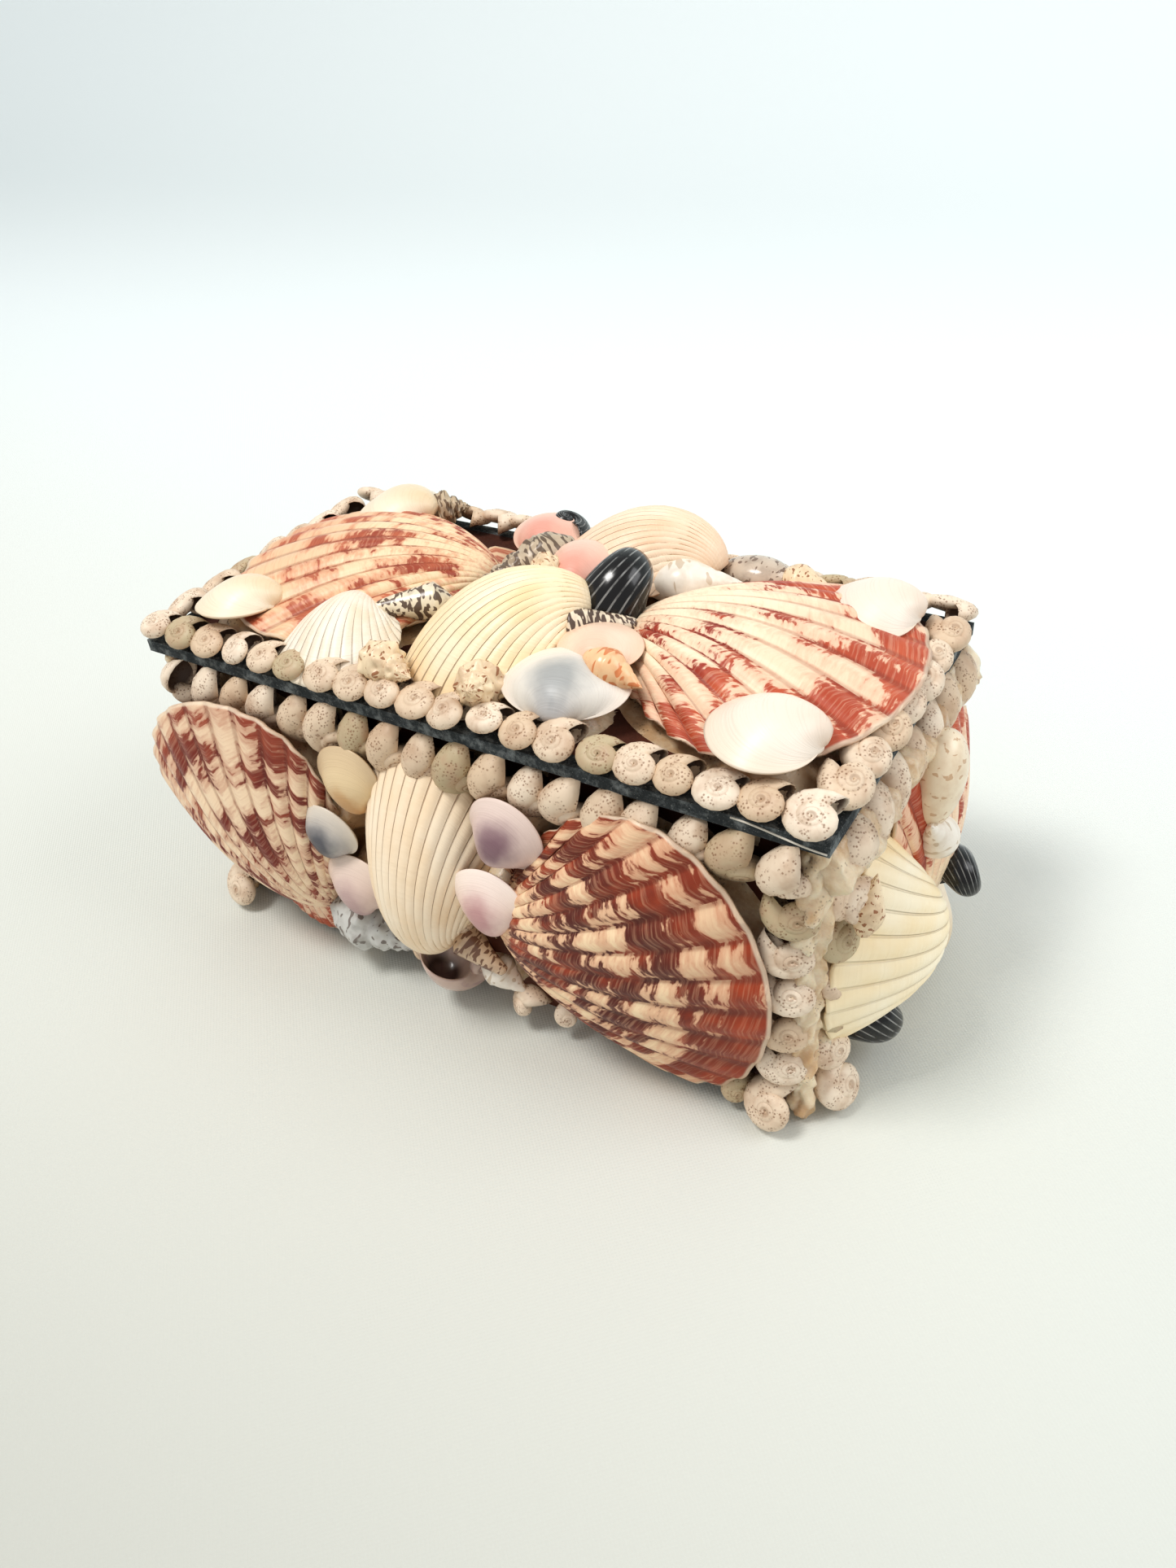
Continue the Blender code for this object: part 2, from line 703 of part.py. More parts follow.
def lid_shells():
    """The pile of shells on the lid, from the two fans up to the small ones in the middle."""
    scallop("lid_scallop_left", LID, (-0.58, 0.02, 4.5), 198, 77, CORAL, tilt=3.5, roll=1)
    scallop("lid_scallop_right", LID, (0.63, 0.03, 5.0), 4, 77, CORAL, tilt=3.5)
    cockle("lid_cockle_front", LID, (-0.01, -0.42, 5.5), 220, 48, CREAM, tilt=-10)
    cockle("lid_cockle_back", LID, (0.10, 0.64, 5.5), 186, 46, CREAM, tilt=-4, roll=6)
    flat_cockle("lid_cockle_small", LID, (-0.41, -0.70, 4.0), 284, 33, WHITE, tilt=-10)
    egg("lid_nerite_centre", LID, (0.27, 0.02, 14), 60, (21, 20, 19), BLACK)
    egg("lid_nerite_back", LID, (-0.13, 0.76, 8), 60, (15, 14, 13), BLACK)
    whelk("lid_auger", LID, (-0.13, 0.16, 11), 238, (38, 15), GREY_BROWN, tilt=-8, whorls=4)
    cone("lid_cone_checked", LID, (-0.31, -0.30, 9), 38, (23, 11), GREY_BROWN)
    cone("lid_cone_zigzag", LID, (0.235, -0.23, 13), 210, (21, 11), MAROON)
    clam("lid_clam_front_right", LID, (0.78, -0.66, 10), 200, 25, WHITE, tilt=3, wide=1.15)
    clam("lid_clam_back_right", LID, (0.80, 0.55, 10), 200, 23, WHITE)
    clam("lid_clam_left", LID, (-0.76, -0.68, 9), 200, 23, CREAM, roll=8, wide=1.1)
    clam("lid_clam_back_left", LID, (-0.71, 0.62, 10), 190, 23, CREAM)
    clam("lid_clam_blue", LID, (0.275, -0.65, 9), 110, 24, BLUE_GREY, tilt=20, wide=1.25)
    clam("lid_clam_peach", LID, (0.30, -0.39, 12.5), 106, 16, PINK, tilt=14)
    clam("lid_clam_pink", LID, (0.05, 0.25, 13), 100, 19, PINK, tilt=30, wide=1.0)
    clam("lid_clam_pink_back", LID, (-0.18, 0.67, 10), 100, 17, PINK, tilt=20, wide=1.2)
    whelk("lid_conch", LID, (0.33, 0.50, 9), 25, (27, 15), WHITE)
    egg("lid_cowrie", LID, (0.44, 0.79, 7), 0, (21, 13, 11), GREY_BROWN)
    whelk("lid_whelk_left", LID, (-0.17, -0.87, 9), -14, (19, 12), CREAM)
    whelk("lid_whelk_middle", LID, (0.09, -0.84, 9), -70, (17, 13), CREAM, tilt=25)
    cone("lid_cone_orange", LID, (0.375, -0.56, 12), 60, (17, 9), CORAL, tilt=25)
    whelk("lid_whelk_back", LID, (0.58, 0.80, 7), 0, (16, 11), CREAM)
    whelk("lid_whelk_rough", LID, (-0.59, 0.80, 9), 40, (14, 12), GREY_BROWN)
    whelk("lid_whelk_small", LID, (-0.01, 0.16, 15), 70, (12, 10), CREAM)


def front_shells():
    """The front wall: a fan at each end, a tall cockle and its small neighbours between."""
    left_fan = {"tilt": 6, "roll": -1, "wide": 1.1}
    scallop("front_scallop_left", FRONT, (-0.73, 0.08, 9), 120, 74, MAROON, **left_fan)
    right_fan = {"tilt": 3, "roll": 2, "wide": 1.25}
    scallop("front_scallop_right", FRONT, (0.55, -0.01, 7.5), 6, 78, MAROON, **right_fan)
    whelk("front_whelk_grey", FRONT, (-0.36, -0.67, 8), -12, (33, 18), GREY_BROWN, whorls=3)
    cockle("front_cockle", FRONT, (-0.075, 0.24, 5), 92, 56, CREAM, wide=0.75)
    clam("front_clam_cream", FRONT, (-0.30, 0.61, 10), 110, 18, CREAM, wide=1.15)
    clam("front_clam_grey", FRONT, (-0.41, 0.17, 12), 86, 16, BLUE_GREY, tilt=5, wide=1.2)
    clam("front_clam_lilac", FRONT, (-0.345, -0.20, 12), 100, 18, LILAC, wide=1.2)
    clam("front_clam_purple_upper", FRONT, (0.235, 0.61, 11), 60, 19, LILAC, wide=1.1)
    clam("front_clam_purple_lower", FRONT, (0.175, 0.16, 15), 100, 18, LILAC, wide=1.2)
    egg("front_moon_shell", FRONT, (-0.07, -0.72, 8), 30, (22, 18, 16), PINK)
    cone("front_cone_brown", FRONT, (0.075, -0.41, 12), 150, (18, 10), GREY_BROWN)
    whelk("front_whelk_white", FRONT, (0.13, -0.62, 9), -30, (16, 10), WHITE)


def right_shells():
    """The right wall: a cockle, a fan at the back and two black snails."""
    cockle("right_cockle", RIGHT, (-0.45, -0.07, 5), 162, 47, CREAM, wide=1.15)
    scallop("right_scallop", RIGHT, (0.44, 0.22, 6), 70, 57, CORAL, tilt=3, wide=1.15)
    egg("right_nerite_upper", RIGHT, (0.40, -0.14, 14), 90, (20, 18, 17), BLACK)
    egg("right_nerite_lower", RIGHT, (-0.45, -0.68, 8), 0, (20, 18, 16), BLACK)
    clam("right_clam_pale", RIGHT, (0.42, -0.60, 10), 100, 25, CREAM, wide=1.1)
    whelk("right_whelk", RIGHT, (0.11, 0.32, 14), 130, (17, 12), WHITE)
    egg("right_cowrie", RIGHT, (0.20, 0.63, 12), 70, (26, 16, 13), CREAM)


def left_and_back_shells():
    """The hidden walls, plainer: fans and two cockles."""
    scallop("left_scallop", LEFT, (0.12, 0.02, 5), 100, 62, MAROON, tilt=3)
    cockle("left_cockle", LEFT, (-0.60, -0.50, 4), 60, 26, CREAM)
    scallop("back_scallop_left", BACK, (-0.58, 0.0, 5), 172, 74, MAROON, tilt=2)
    scallop("back_scallop_right", BACK, (0.58, 0.0, 5), 8, 74, MAROON, tilt=2)
    cockle("back_cockle", BACK, (0.01, 0.12, 4.5), 88, 48, CREAM, wide=0.85)


carcass()
lid_board()
lid_rows()
wall_frames()
lid_shells()
front_shells()
right_shells()
left_and_back_shells()
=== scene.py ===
# %% [markdown]
# A shell box is a plain board box and lid that somebody has hidden under sea shells. This
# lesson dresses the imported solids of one. A solid of a shell could get a material and be left
# at that, but ribs, mouths and thin margins make the object, so every one is replaced by a
# thin shell worked out from a formula, and every kind of shell gets its own recipe of nodes.

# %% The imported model
import math

import bpy
import numpy as np
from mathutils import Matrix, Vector


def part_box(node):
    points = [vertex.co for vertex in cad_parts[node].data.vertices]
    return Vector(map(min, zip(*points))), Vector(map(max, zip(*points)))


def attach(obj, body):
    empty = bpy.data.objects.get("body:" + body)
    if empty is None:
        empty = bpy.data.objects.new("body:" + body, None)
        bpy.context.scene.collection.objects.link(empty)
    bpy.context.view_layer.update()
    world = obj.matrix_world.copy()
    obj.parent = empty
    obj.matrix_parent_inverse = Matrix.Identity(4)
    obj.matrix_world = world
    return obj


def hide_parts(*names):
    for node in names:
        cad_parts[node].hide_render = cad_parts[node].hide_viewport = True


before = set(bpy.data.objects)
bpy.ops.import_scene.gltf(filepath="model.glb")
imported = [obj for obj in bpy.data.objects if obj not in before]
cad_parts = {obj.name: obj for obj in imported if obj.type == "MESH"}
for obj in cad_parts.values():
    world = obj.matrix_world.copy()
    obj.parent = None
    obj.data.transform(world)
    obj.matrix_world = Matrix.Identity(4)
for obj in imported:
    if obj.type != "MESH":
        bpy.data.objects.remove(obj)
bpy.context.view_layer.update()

# %% [markdown]
# Five sides of the box carry shells. It would be tedious to place each shell in the world's
# own axes, so a side is a flat frame of its own: across, up, and out of the surface. Spots
# are then shares of its half sizes, and stay right if the boards change.

# %% The five dressed sides
MM = 0.001
BOX_LOW, BOX_HIGH = (np.array(corner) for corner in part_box("box_carcass"))
LID_LOW, LID_HIGH = (np.array(corner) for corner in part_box("lid_board"))


class Side:
    """One side of the box: a centre, three unit directions and two half sizes."""

    def __init__(self, centre, across, up, half_across, half_up):
        self.centre = np.array(centre, float)
        self.axes = np.array([across, up, np.cross(across, up)], float)
        self.half = np.array([half_across, half_up])

    def to_world(self, points):
        """Carry points given as across, up and out in metres to the world."""
        return self.centre + points @ self.axes


middle = BOX_HIGH[2] / 2
LID = Side((0, 0, LID_HIGH[2]), (1, 0, 0), (0, 1, 0), LID_HIGH[0], LID_HIGH[1])
FRONT = Side((0, BOX_LOW[1], middle), (1, 0, 0), (0, 0, 1), BOX_HIGH[0], middle)
BACK = Side((0, BOX_HIGH[1], middle), (-1, 0, 0), (0, 0, 1), BOX_HIGH[0], middle)
RIGHT = Side((BOX_HIGH[0], 0, middle), (0, 1, 0), (0, 0, 1), BOX_HIGH[1], middle)
LEFT = Side((BOX_LOW[0], 0, middle), (0, -1, 0), (0, 0, 1), BOX_HIGH[1], middle)
print("lid, mm:", np.round((LID_HIGH - LID_LOW) * 1000, 1))

# %% [markdown]
# A glued shell lies at any heading and tilt. Objects could be turned one by one, but the
# mesh itself has to hold its place. So a shell is made flat at the origin, its far end along
# +Y, and one rotation matrix turns its whole grid of points at once.

# %% Turning and placing
def rotation(axis, degrees):
    """A turn about axis 0, 1 or 2, for points kept as rows."""
    c, s = math.cos(math.radians(degrees)), math.sin(math.radians(degrees))
    i, j = (axis + 1) % 3, (axis + 2) % 3
    turn = np.eye(3)
    turn[i, i] = turn[j, j] = c
    turn[i, j], turn[j, i] = s, -s
    return turn


def laid(side, points, spot, heading, tilt=0.0, roll=0.0):
    """Turn a shell to its heading, lift its far end and its left side, put it on its spot.

    The spot is (share across, share up, lift in mm).
    """
    turned = points @ rotation(1, roll) @ rotation(0, tilt) @ rotation(2, heading - 90)
    place = np.array([spot[0] * side.half[0], spot[1] * side.half[1], spot[2] * MM])
    return side.to_world(turned + place)


print("a quarter turn carries +X to", np.round(np.array([1.0, 0, 0]) @ rotation(2, 90), 3))

# %% [markdown]
# Shells could be sculpted, but they grow by rules, so a formula is shorter and comes out the
# same each time. Every shape here is a grid of points, rows by columns, worked out by numpy,
# and one function turns a grid into faces. A grid can wrap round, like a tube, and can end in
# a single point, like the tip of a snail. The UV map keeps the two parameters of the surface,
# so a pattern can follow the growth: U runs round or across it, V runs from tip to margin.

# %% Grids to faces
TIP_V = 0.001


def woven(grid, uv, wrap=False, first_tip=None, last_tip=None):
    """Faces of a grid as (points, [face arrays], [UV arrays]).

    Point (r, c) is number r * columns + c, and each face joins four neighbours. The UV grid
    has one more column than the points where the grid wraps round.
    """
    rows, cols, _ = grid.shape
    points = [grid.reshape(-1, 3)]
    steps = cols if wrap else cols - 1
    r, c = np.meshgrid(np.arange(rows - 1), np.arange(steps), indexing="ij")
    near, far = r * cols + c, r * cols + (c + 1) % cols
    faces = [np.stack([near, far, far + cols, near + cols], -1).reshape(-1, 4)]
    corners = [uv[r, c], uv[r, c + 1], uv[r + 1, c + 1], uv[r + 1, c]]
    maps = [np.stack(corners, 2).reshape(-1, 4, 2)]
    count = rows * cols
    for tip, row, turned in ((first_tip, 0, True), (last_tip, rows - 1, False)):
        if tip is None:
            continue
        c = np.arange(steps)
        one, two = row * cols + c, row * cols + (c + 1) % cols
        fan = np.stack([two, one, np.full(steps, count)], -1)
        tip_uv = (uv[row, c] + uv[row, c + 1]) / 2
        tip_uv[:, 1] += TIP_V
        fan_uv = np.stack([uv[row, c + 1], uv[row, c], tip_uv], 1)
        if not turned:
            fan, fan_uv = fan[:, [1, 0, 2]], fan_uv[:, [1, 0, 2]]
        faces.append(fan)
        maps.append(fan_uv)
        points.append(np.array([tip], float))
        count += 1
    return np.concatenate(points), faces, maps


plot = np.stack(np.meshgrid(np.arange(3.0), np.arange(3.0), [0.0]), -1)[:, :, 0]
print("a grid of 3 by 3 points has", len(woven(plot, plot[:, :, :2])[1][0]), "faces")

# %% [markdown]
# A piece joins one or more woven grids into a mesh. The long way is to build each face with
# an operator; filling the mesh's arrays at once is far quicker for a row of twenty snails.
# Valves get their wall from a Solidify modifier, so the grid itself stays a single surface.


def filled_mesh(name, points, faces, maps):
    """A mesh from an array of points, arrays of faces and a UV for each face's corner."""
    corners = np.concatenate([face.ravel() for face in faces])
    sizes = np.concatenate([np.full(len(face), face.shape[1]) for face in faces])
    starts = np.concatenate([[0], np.cumsum(sizes)[:-1]])
    mesh = bpy.data.meshes.new(name)
    mesh.vertices.add(len(points))
    mesh.vertices.foreach_set("co", points.ravel())
    mesh.loops.add(len(corners))
    mesh.loops.foreach_set("vertex_index", corners.astype(np.int32))
    mesh.polygons.add(len(sizes))
    mesh.polygons.foreach_set("loop_start", starts.astype(np.int32))
    mesh.update(calc_edges=True)
    layer = mesh.uv_layers.new(name="growth")
    layer.data.foreach_set("uv", np.concatenate([one.reshape(-1, 2) for one in maps]).ravel())
    mesh.validate()
    mesh.shade_smooth()
    return mesh


def piece(name, woven_parts, material, nodes=(), thickness=0.0):
    """One object from woven grids, riding on the box, that stands for the named nodes."""
    points, faces, maps, start = [], [], [], 0
    for part_points, part_faces, part_maps in woven_parts:
        points.append(part_points)
        faces += [face + start for face in part_faces]
        maps += part_maps
        start += len(part_points)
    mesh = filled_mesh(name, np.concatenate(points), faces, maps)
    mesh.materials.append(material)
    item = bpy.data.objects.new(name, mesh)
    bpy.context.scene.collection.objects.link(item)
    if thickness:
        wall = item.modifiers.new("wall", "SOLIDIFY")
        wall.thickness = thickness
        wall.offset = -1
    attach(item, "root")
    if nodes:
        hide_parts(*nodes)
    return item


# %% [markdown]
# Colours are easiest to judge as they look on a screen, while a shader works in linear
# light. The first helper converts one to the other. The class keeps a recipe readable: each
# node takes one line, is set by name, and links to whatever comes from another node.

# %% Material helper
GAMMA_KNEE = 0.04045


def linear(red, green, blue):
    """A colour as it is seen, 0 to 255, turned into the linear light that shaders take."""
    seen = np.array([red, green, blue]) / 255
    light = np.where(seen <= GAMMA_KNEE, seen / 12.92, ((seen + 0.055) / 1.055) ** 2.4)
    return (*light.tolist(), 1.0)


class Recipe:
    """One material and short words for its nodes."""

    def __init__(self, name, roughness=0.5, **settings):
        self.material = bpy.data.materials.new(name)
        self.material.use_nodes = True
        self.tree = self.material.node_tree
        self.shader = self.tree.nodes["Principled BSDF"]
        self.shader.inputs["Roughness"].default_value = roughness
        for socket, value in settings.items():
            self.shader.inputs[socket.replace("_", " ")].default_value = value

    def put(self, socket, value):
        """Link a socket to an output, or set its value."""
        if isinstance(value, bpy.types.NodeSocket):
            self.tree.links.new(value, socket)
        else:
            socket.default_value = value

    def add(self, kind, output=0, settings=None, **inputs):
        """Add a node and give back one of its outputs."""
        node = self.tree.nodes.new(kind)
        for key, value in (settings or {}).items():
            setattr(node, key, value)
        for key, value in inputs.items():
            self.put(node.inputs[key.replace("_", " ")], value)
        return node.outputs[output]

    def math(self, operation, *values):
        """A Math node."""
        node = self.tree.nodes.new("ShaderNodeMath")
        node.operation = operation
        for socket, value in zip(node.inputs, values):
            self.put(socket, value)
        return node.outputs[0]

    def times(self, first, second):
        """A product."""
        return self.math("MULTIPLY", first, second)

    def times_plus(self, first, second, third):
        """A product and then a sum."""
        return self.math("MULTIPLY_ADD", first, second, third)

    def split(self, vector):
        """The three values of a vector."""
        node = self.tree.nodes.new("ShaderNodeSeparateXYZ")
        self.tree.links.new(vector, node.inputs[0])
        return tuple(node.outputs)

    def growth(self):
        """The two growth parameters, U and V."""
        return self.split(self.add("ShaderNodeUVMap", settings={"uv_map": "growth"}))[:2]

    def place(self):
        """Object coordinates, in metres."""
        return self.add("ShaderNodeTexCoord", output=3)

    def point(self, x, y, z=0.0):
        """Three values as one vector."""
        return self.add("ShaderNodeCombineXYZ", X=x, Y=y, Z=z)

    def noise(self, vector, scale, detail=3.0, roughness=0.55, distortion=0.0):
        """Noise from 0 to 1."""
        return self.add("ShaderNodeTexNoise", Vector=vector, Scale=scale, Detail=detail,
                        Roughness=roughness, Distortion=distortion)

    def streaks(self, u, u_scale, v, v_scale, z=0.0, detail=3.0):
        """Noise stretched along one growth parameter."""
        return self.noise(self.point(self.times(u, u_scale), self.times(v, v_scale), z), 1.0,
                          detail)

    def step(self, value, low, high):
        """0 at low, 1 at high, smooth between."""
        node = self.tree.nodes.new("ShaderNodeMapRange")
        node.interpolation_type = "SMOOTHSTEP"
        for key, entry in (("Value", value), ("From Min", low), ("From Max", high)):
            self.put(node.inputs[key], entry)
        return node.outputs[0]

    def mix(self, share, first, second, blend="MIX"):
        """One colour over another."""
        node = self.tree.nodes.new("ShaderNodeMix")
        node.data_type = "RGBA"
        node.blend_type = blend
        self.put(node.inputs[0], share)
        self.put(node.inputs[6], first)
        self.put(node.inputs[7], second)
        return node.outputs[2]

    def finish(self, colour, height, depth=0.3 * MM, strength=1.0):
        """Send the colour and the relief to the shader."""
        self.put(self.shader.inputs["Base Color"], colour)
        node = self.tree.nodes.new("ShaderNodeBump")
        self.put(node.inputs["Strength"], strength)
        self.put(node.inputs["Distance"], depth)
        self.put(node.inputs["Height"], height)
        self.tree.links.new(node.outputs[0], self.shader.inputs["Normal"])
        return self.material


print("middle grey, linear:", round(linear(128, 128, 128)[0], 3))

# %% [markdown]
# Scallops carry their colour in two ways at once: along each rib, and in bands across all of
# them that mark the seasons. A painted picture would fit one shell only. The recipe makes one
# noise that changes from rib to rib and one that runs across the bands, and lets their sum
# decide where the dark patches lie. The grooves get painted shade, and the very margin is pale.

# %% Scallop recipe
# Painted shade: this colour is multiplied into the grooves between the ribs.
SCALLOP_GROOVE_SHADE = linear(130, 74, 52)
PALE_MARGIN = linear(240, 222, 196)


def scallop_recipe(name, ground, blotch, warm, ribs, bands, cover, warm_from, rise=0.0,
                   chevron=0.35, warm_share=0.5, spread=4.0, halo_share=0.6):
    """Blotched ribs: ground colour, patches with a warm halo, a warm margin, and painted shade
    in the grooves.

    The patches cover more of the valve towards the margin if rise is above 0, and are drawn
    out across it if spread is small. A chevron bends each band back between the ribs.
    """
    m = Recipe(name, roughness=0.45, Coat_Weight=0.1, Coat_Roughness=0.35)
    u, v = m.growth()
    rib = m.times(u, ribs)
    cell = m.math("FLOOR", rib)
    off_centre = m.math("ABSOLUTE", m.math("SUBTRACT", m.math("FRACT", rib), 0.5))
    groove = m.step(off_centre, 0.30, 0.46)
    arc = m.times_plus(off_centre, -chevron / bands, v)

    own = m.streaks(cell, 3.7, arc, bands * 1.5, detail=1.5)
    shared = m.streaks(u, spread, arc, bands * 0.55, 4.0)
    ragged = m.streaks(u, 55.0, arc, 60.0, detail=4.0)
    both = m.times_plus(own, 0.4, m.times(shared, 0.6))
    both = m.times_plus(m.math("SUBTRACT", ragged, 0.5), 0.22, both)
    both = m.times_plus(v, rise, m.times_plus(groove, 0.03, both))
    patch = m.step(both, 0.525 - cover, 0.56 - cover)
    halo = m.step(both, 0.44 - cover, 0.53 - cover)

    fine = m.streaks(u, 16.0, arc, 110.0, 2.0)
    streak = m.step(fine, 0.46, 0.66)
    patch = m.times(patch, m.times_plus(streak, -0.3, 1.0))
    warmth = m.step(m.times_plus(m.noise(m.point(u, v), 9.0), 0.3, v), warm_from,
                    warm_from + 0.3)
    base = m.mix(m.times(streak, 0.3 * halo_share), ground, warm)
    base = m.mix(m.times(warmth, warm_share), base, warm)
    base = m.mix(m.times(halo, halo_share), base, warm)
    tone = m.step(m.streaks(u, 14.0, arc, 7.0, 9.0, 4.0), 0.45, 0.68)
    dark = m.mix(m.times(tone, 0.6), blotch, warm)
    dark = m.mix(m.times(warmth, 0.4), dark, warm)
    colour = m.mix(patch, base, dark)
    # Painted shade: the grooves are darkened.
    colour = m.mix(m.times(groove, 0.35), colour, SCALLOP_GROOVE_SHADE, "MULTIPLY")
    colour = m.mix(m.times(m.step(v, 0.984, 0.993), 0.7), colour, PALE_MARGIN)
    return m.finish(colour, fine, 0.25 * MM, 0.55)


# %% [markdown]
# The photograph shows four colourings: a dusty one and a coral one on the lid, maroon with
# rust on the front's right, wine on its left. The recipe is the same, so each is a row of
# values: three colours, then how many ribs and bands, and how far the patches spread.

# %% Four scallop colourings
SCALLOP_RIBS = 19
SCALLOPS = {
    "dusty": scallop_recipe("scallop_dusty", linear(242, 216, 178), linear(158, 70, 46),
                            linear(206, 118, 82), SCALLOP_RIBS, 8.0, -0.005, 0.6,
                            chevron=0.2, warm_share=0.25, spread=12.0, halo_share=0.5),
    "coral": scallop_recipe("scallop_coral", linear(252, 230, 200), linear(150, 42, 26),
                            linear(212, 104, 64), SCALLOP_RIBS, 3.6, -0.08, 0.6, rise=0.14,
                            chevron=0.1, warm_share=0.15, spread=13.0, halo_share=0.25),
    "maroon": scallop_recipe("scallop_maroon", linear(252, 224, 186), linear(94, 32, 20),
                             linear(190, 76, 34), SCALLOP_RIBS, 9.0, 0.03, 0.8, rise=0.03,
                             warm_share=0.2, spread=7.0, halo_share=0.35),
    "wine": scallop_recipe("scallop_wine", linear(248, 222, 190), linear(122, 42, 28),
                           linear(176, 86, 58), SCALLOP_RIBS, 10.0, -0.01, 0.9, rise=0.03,
                           chevron=0.6, warm_share=0.2, spread=9.0, halo_share=0.4),
}
print(len(SCALLOPS), "scallop colourings")

# %% [markdown]
# A cockle is nearly one colour. What shows are its ribs, thin dark lines of painted shade in
# the grooves, and faint rings of growth. The ribs are real geometry, so the recipe only has to
# paint that shade where the same rib count says that a groove is, and break it up with noise.

# %% Cockle recipe
def cockle_recipe(name, ground, deep, ribs, line, cockle_shade_colour):
    """A ribbed cream valve with fine lines of painted shade in its grooves."""
    m = Recipe(name, roughness=0.45, Coat_Weight=0.08, Coat_Roughness=0.3)
    u, v = m.growth()
    inside = m.math("FRACT", m.times(u, ribs))
    off_centre = m.math("ABSOLUTE", m.math("SUBTRACT", inside, 0.5))
    patchy = m.streaks(u, 6.0, v, 3.0, detail=4.0)
    base = m.mix(m.step(patchy, 0.3, 0.75), ground, deep)
    base = m.mix(m.times(m.step(v, 0.75, 1.0), 0.35), base, deep)
    # Painted shade: dark lines laid in the grooves, broken up by noise.
    cockle_groove_shade = m.times(m.step(off_centre, 0.41, 0.47), m.step(patchy, 0.2, 0.55))
    colour = m.mix(m.times(cockle_groove_shade, line), base, cockle_shade_colour)
    rings = m.streaks(u, 3.0, v, 70.0, detail=2.0)
    relief = m.times_plus(m.step(off_centre, 0.38, 0.48), -1.6, m.times(rings, 0.6))
    return m.finish(colour, relief, 0.3 * MM, 0.8)


# The last two values of a row are the strength and the colour of the painted shade in the
# grooves.
COCKLES = {
    "cream": cockle_recipe("cockle_cream", linear(252, 236, 206), linear(246, 216, 168), 34,
                           0.75, linear(120, 84, 52)),
    "ivory": cockle_recipe("cockle_ivory", linear(255, 244, 218), linear(250, 226, 180), 21,
                           0.2, linear(190, 150, 104)),
    "pale": cockle_recipe("cockle_pale", linear(252, 236, 212), linear(244, 216, 180), 32,
                          0.6, linear(156, 112, 76)),
    "blush": cockle_recipe("cockle_blush", linear(250, 228, 202), linear(242, 202, 168), 34,
                           0.7, linear(170, 116, 82)),
    "white": cockle_recipe("cockle_white", linear(242, 234, 220), linear(234, 216, 190), 26,
                           0.4, linear(170, 146, 116)),
}
print(len(COCKLES), "cockle colourings")

# %% [markdown]
# A clam is smooth: its colour turns from the beak to the margin, and some have a stained
# patch, violet or slate, where the animal sat. V gives the turn of colour, and a distance in
# U and V gives the patch; a cloud of noise keeps both from looking drawn.

# %% Clam recipe
RING_STAIN = linear(150, 120, 100)


def clam_recipe(name, beak, body, margin, stain, stain_share, stain_at=0.45):
    """A smooth valve that changes colour from its beak to its margin, with a stain."""
    m = Recipe(name, roughness=0.42, Coat_Weight=0.12, Coat_Roughness=0.25)
    u, v = m.growth()
    cloud = m.noise(m.point(m.times(u, 3.0), m.times(v, 2.0)), 1.3, 3.0)
    along = m.times_plus(cloud, 0.3, m.math("SUBTRACT", v, 0.15))
    colour = m.mix(m.step(along, 0.1, 0.55), beak, body)
    colour = m.mix(m.step(along, 0.6, 1.05), colour, margin)
    dx = m.times(m.math("SUBTRACT", u, 0.5), 1.6)
    dy = m.math("SUBTRACT", v, stain_at)
    far = m.math("SQRT", m.math("ADD", m.times(dx, dx), m.times(dy, dy)))
    spot = m.step(m.times_plus(cloud, 0.25, far), 0.48, 0.22)
    colour = m.mix(m.times(spot, stain_share), colour, stain)
    rings = m.streaks(u, 1.5, v, 55.0, detail=2.5)
    colour = m.mix(m.times(m.step(rings, 0.5, 0.8), 0.12), colour, RING_STAIN, "MULTIPLY")
    return m.finish(colour, rings, 0.22 * MM, 0.6)


CLAMS = {
    "white": clam_recipe("clam_white", linear(238, 218, 200), linear(244, 232, 218),
                         linear(240, 222, 202), linear(244, 216, 198), 0.4),
    "cream": clam_recipe("clam_cream", linear(236, 214, 180), linear(246, 232, 208),
                         linear(240, 222, 196), linear(214, 178, 130), 0.35),
    "honey": clam_recipe("clam_honey", linear(206, 160, 104), linear(232, 208, 168),
                         linear(214, 190, 156), linear(196, 146, 90), 0.7, 0.35),
    "blue": clam_recipe("clam_blue", linear(186, 184, 184), linear(230, 225, 216),
                        linear(242, 230, 216), linear(142, 146, 148), 0.75, 0.5),
    "peach": clam_recipe("clam_peach", linear(236, 196, 170), linear(244, 218, 196),
                         linear(240, 206, 180), linear(238, 186, 160), 0.5),
    "pink": clam_recipe("clam_pink", linear(226, 160, 144), linear(236, 184, 166),
                        linear(242, 208, 188), linear(222, 150, 134), 0.6),
    "lilac": clam_recipe("clam_lilac", linear(186, 154, 156), linear(228, 204, 194),
                         linear(240, 222, 208), linear(172, 138, 142), 0.6),
    "purple": clam_recipe("clam_purple", linear(188, 160, 162), linear(222, 198, 192),
                          linear(236, 216, 206), linear(116, 78, 96), 0.85, 0.55),
    "mauve": clam_recipe("clam_mauve", linear(226, 190, 184), linear(244, 220, 210),
                         linear(250, 236, 226), linear(186, 132, 136), 0.8, 0.5),
    "slate": clam_recipe("clam_slate", linear(104, 104, 112), linear(186, 182, 180),
                         linear(230, 220, 206), linear(70, 72, 84), 0.9, 0.5),
}
print(len(CLAMS), "clam colourings")

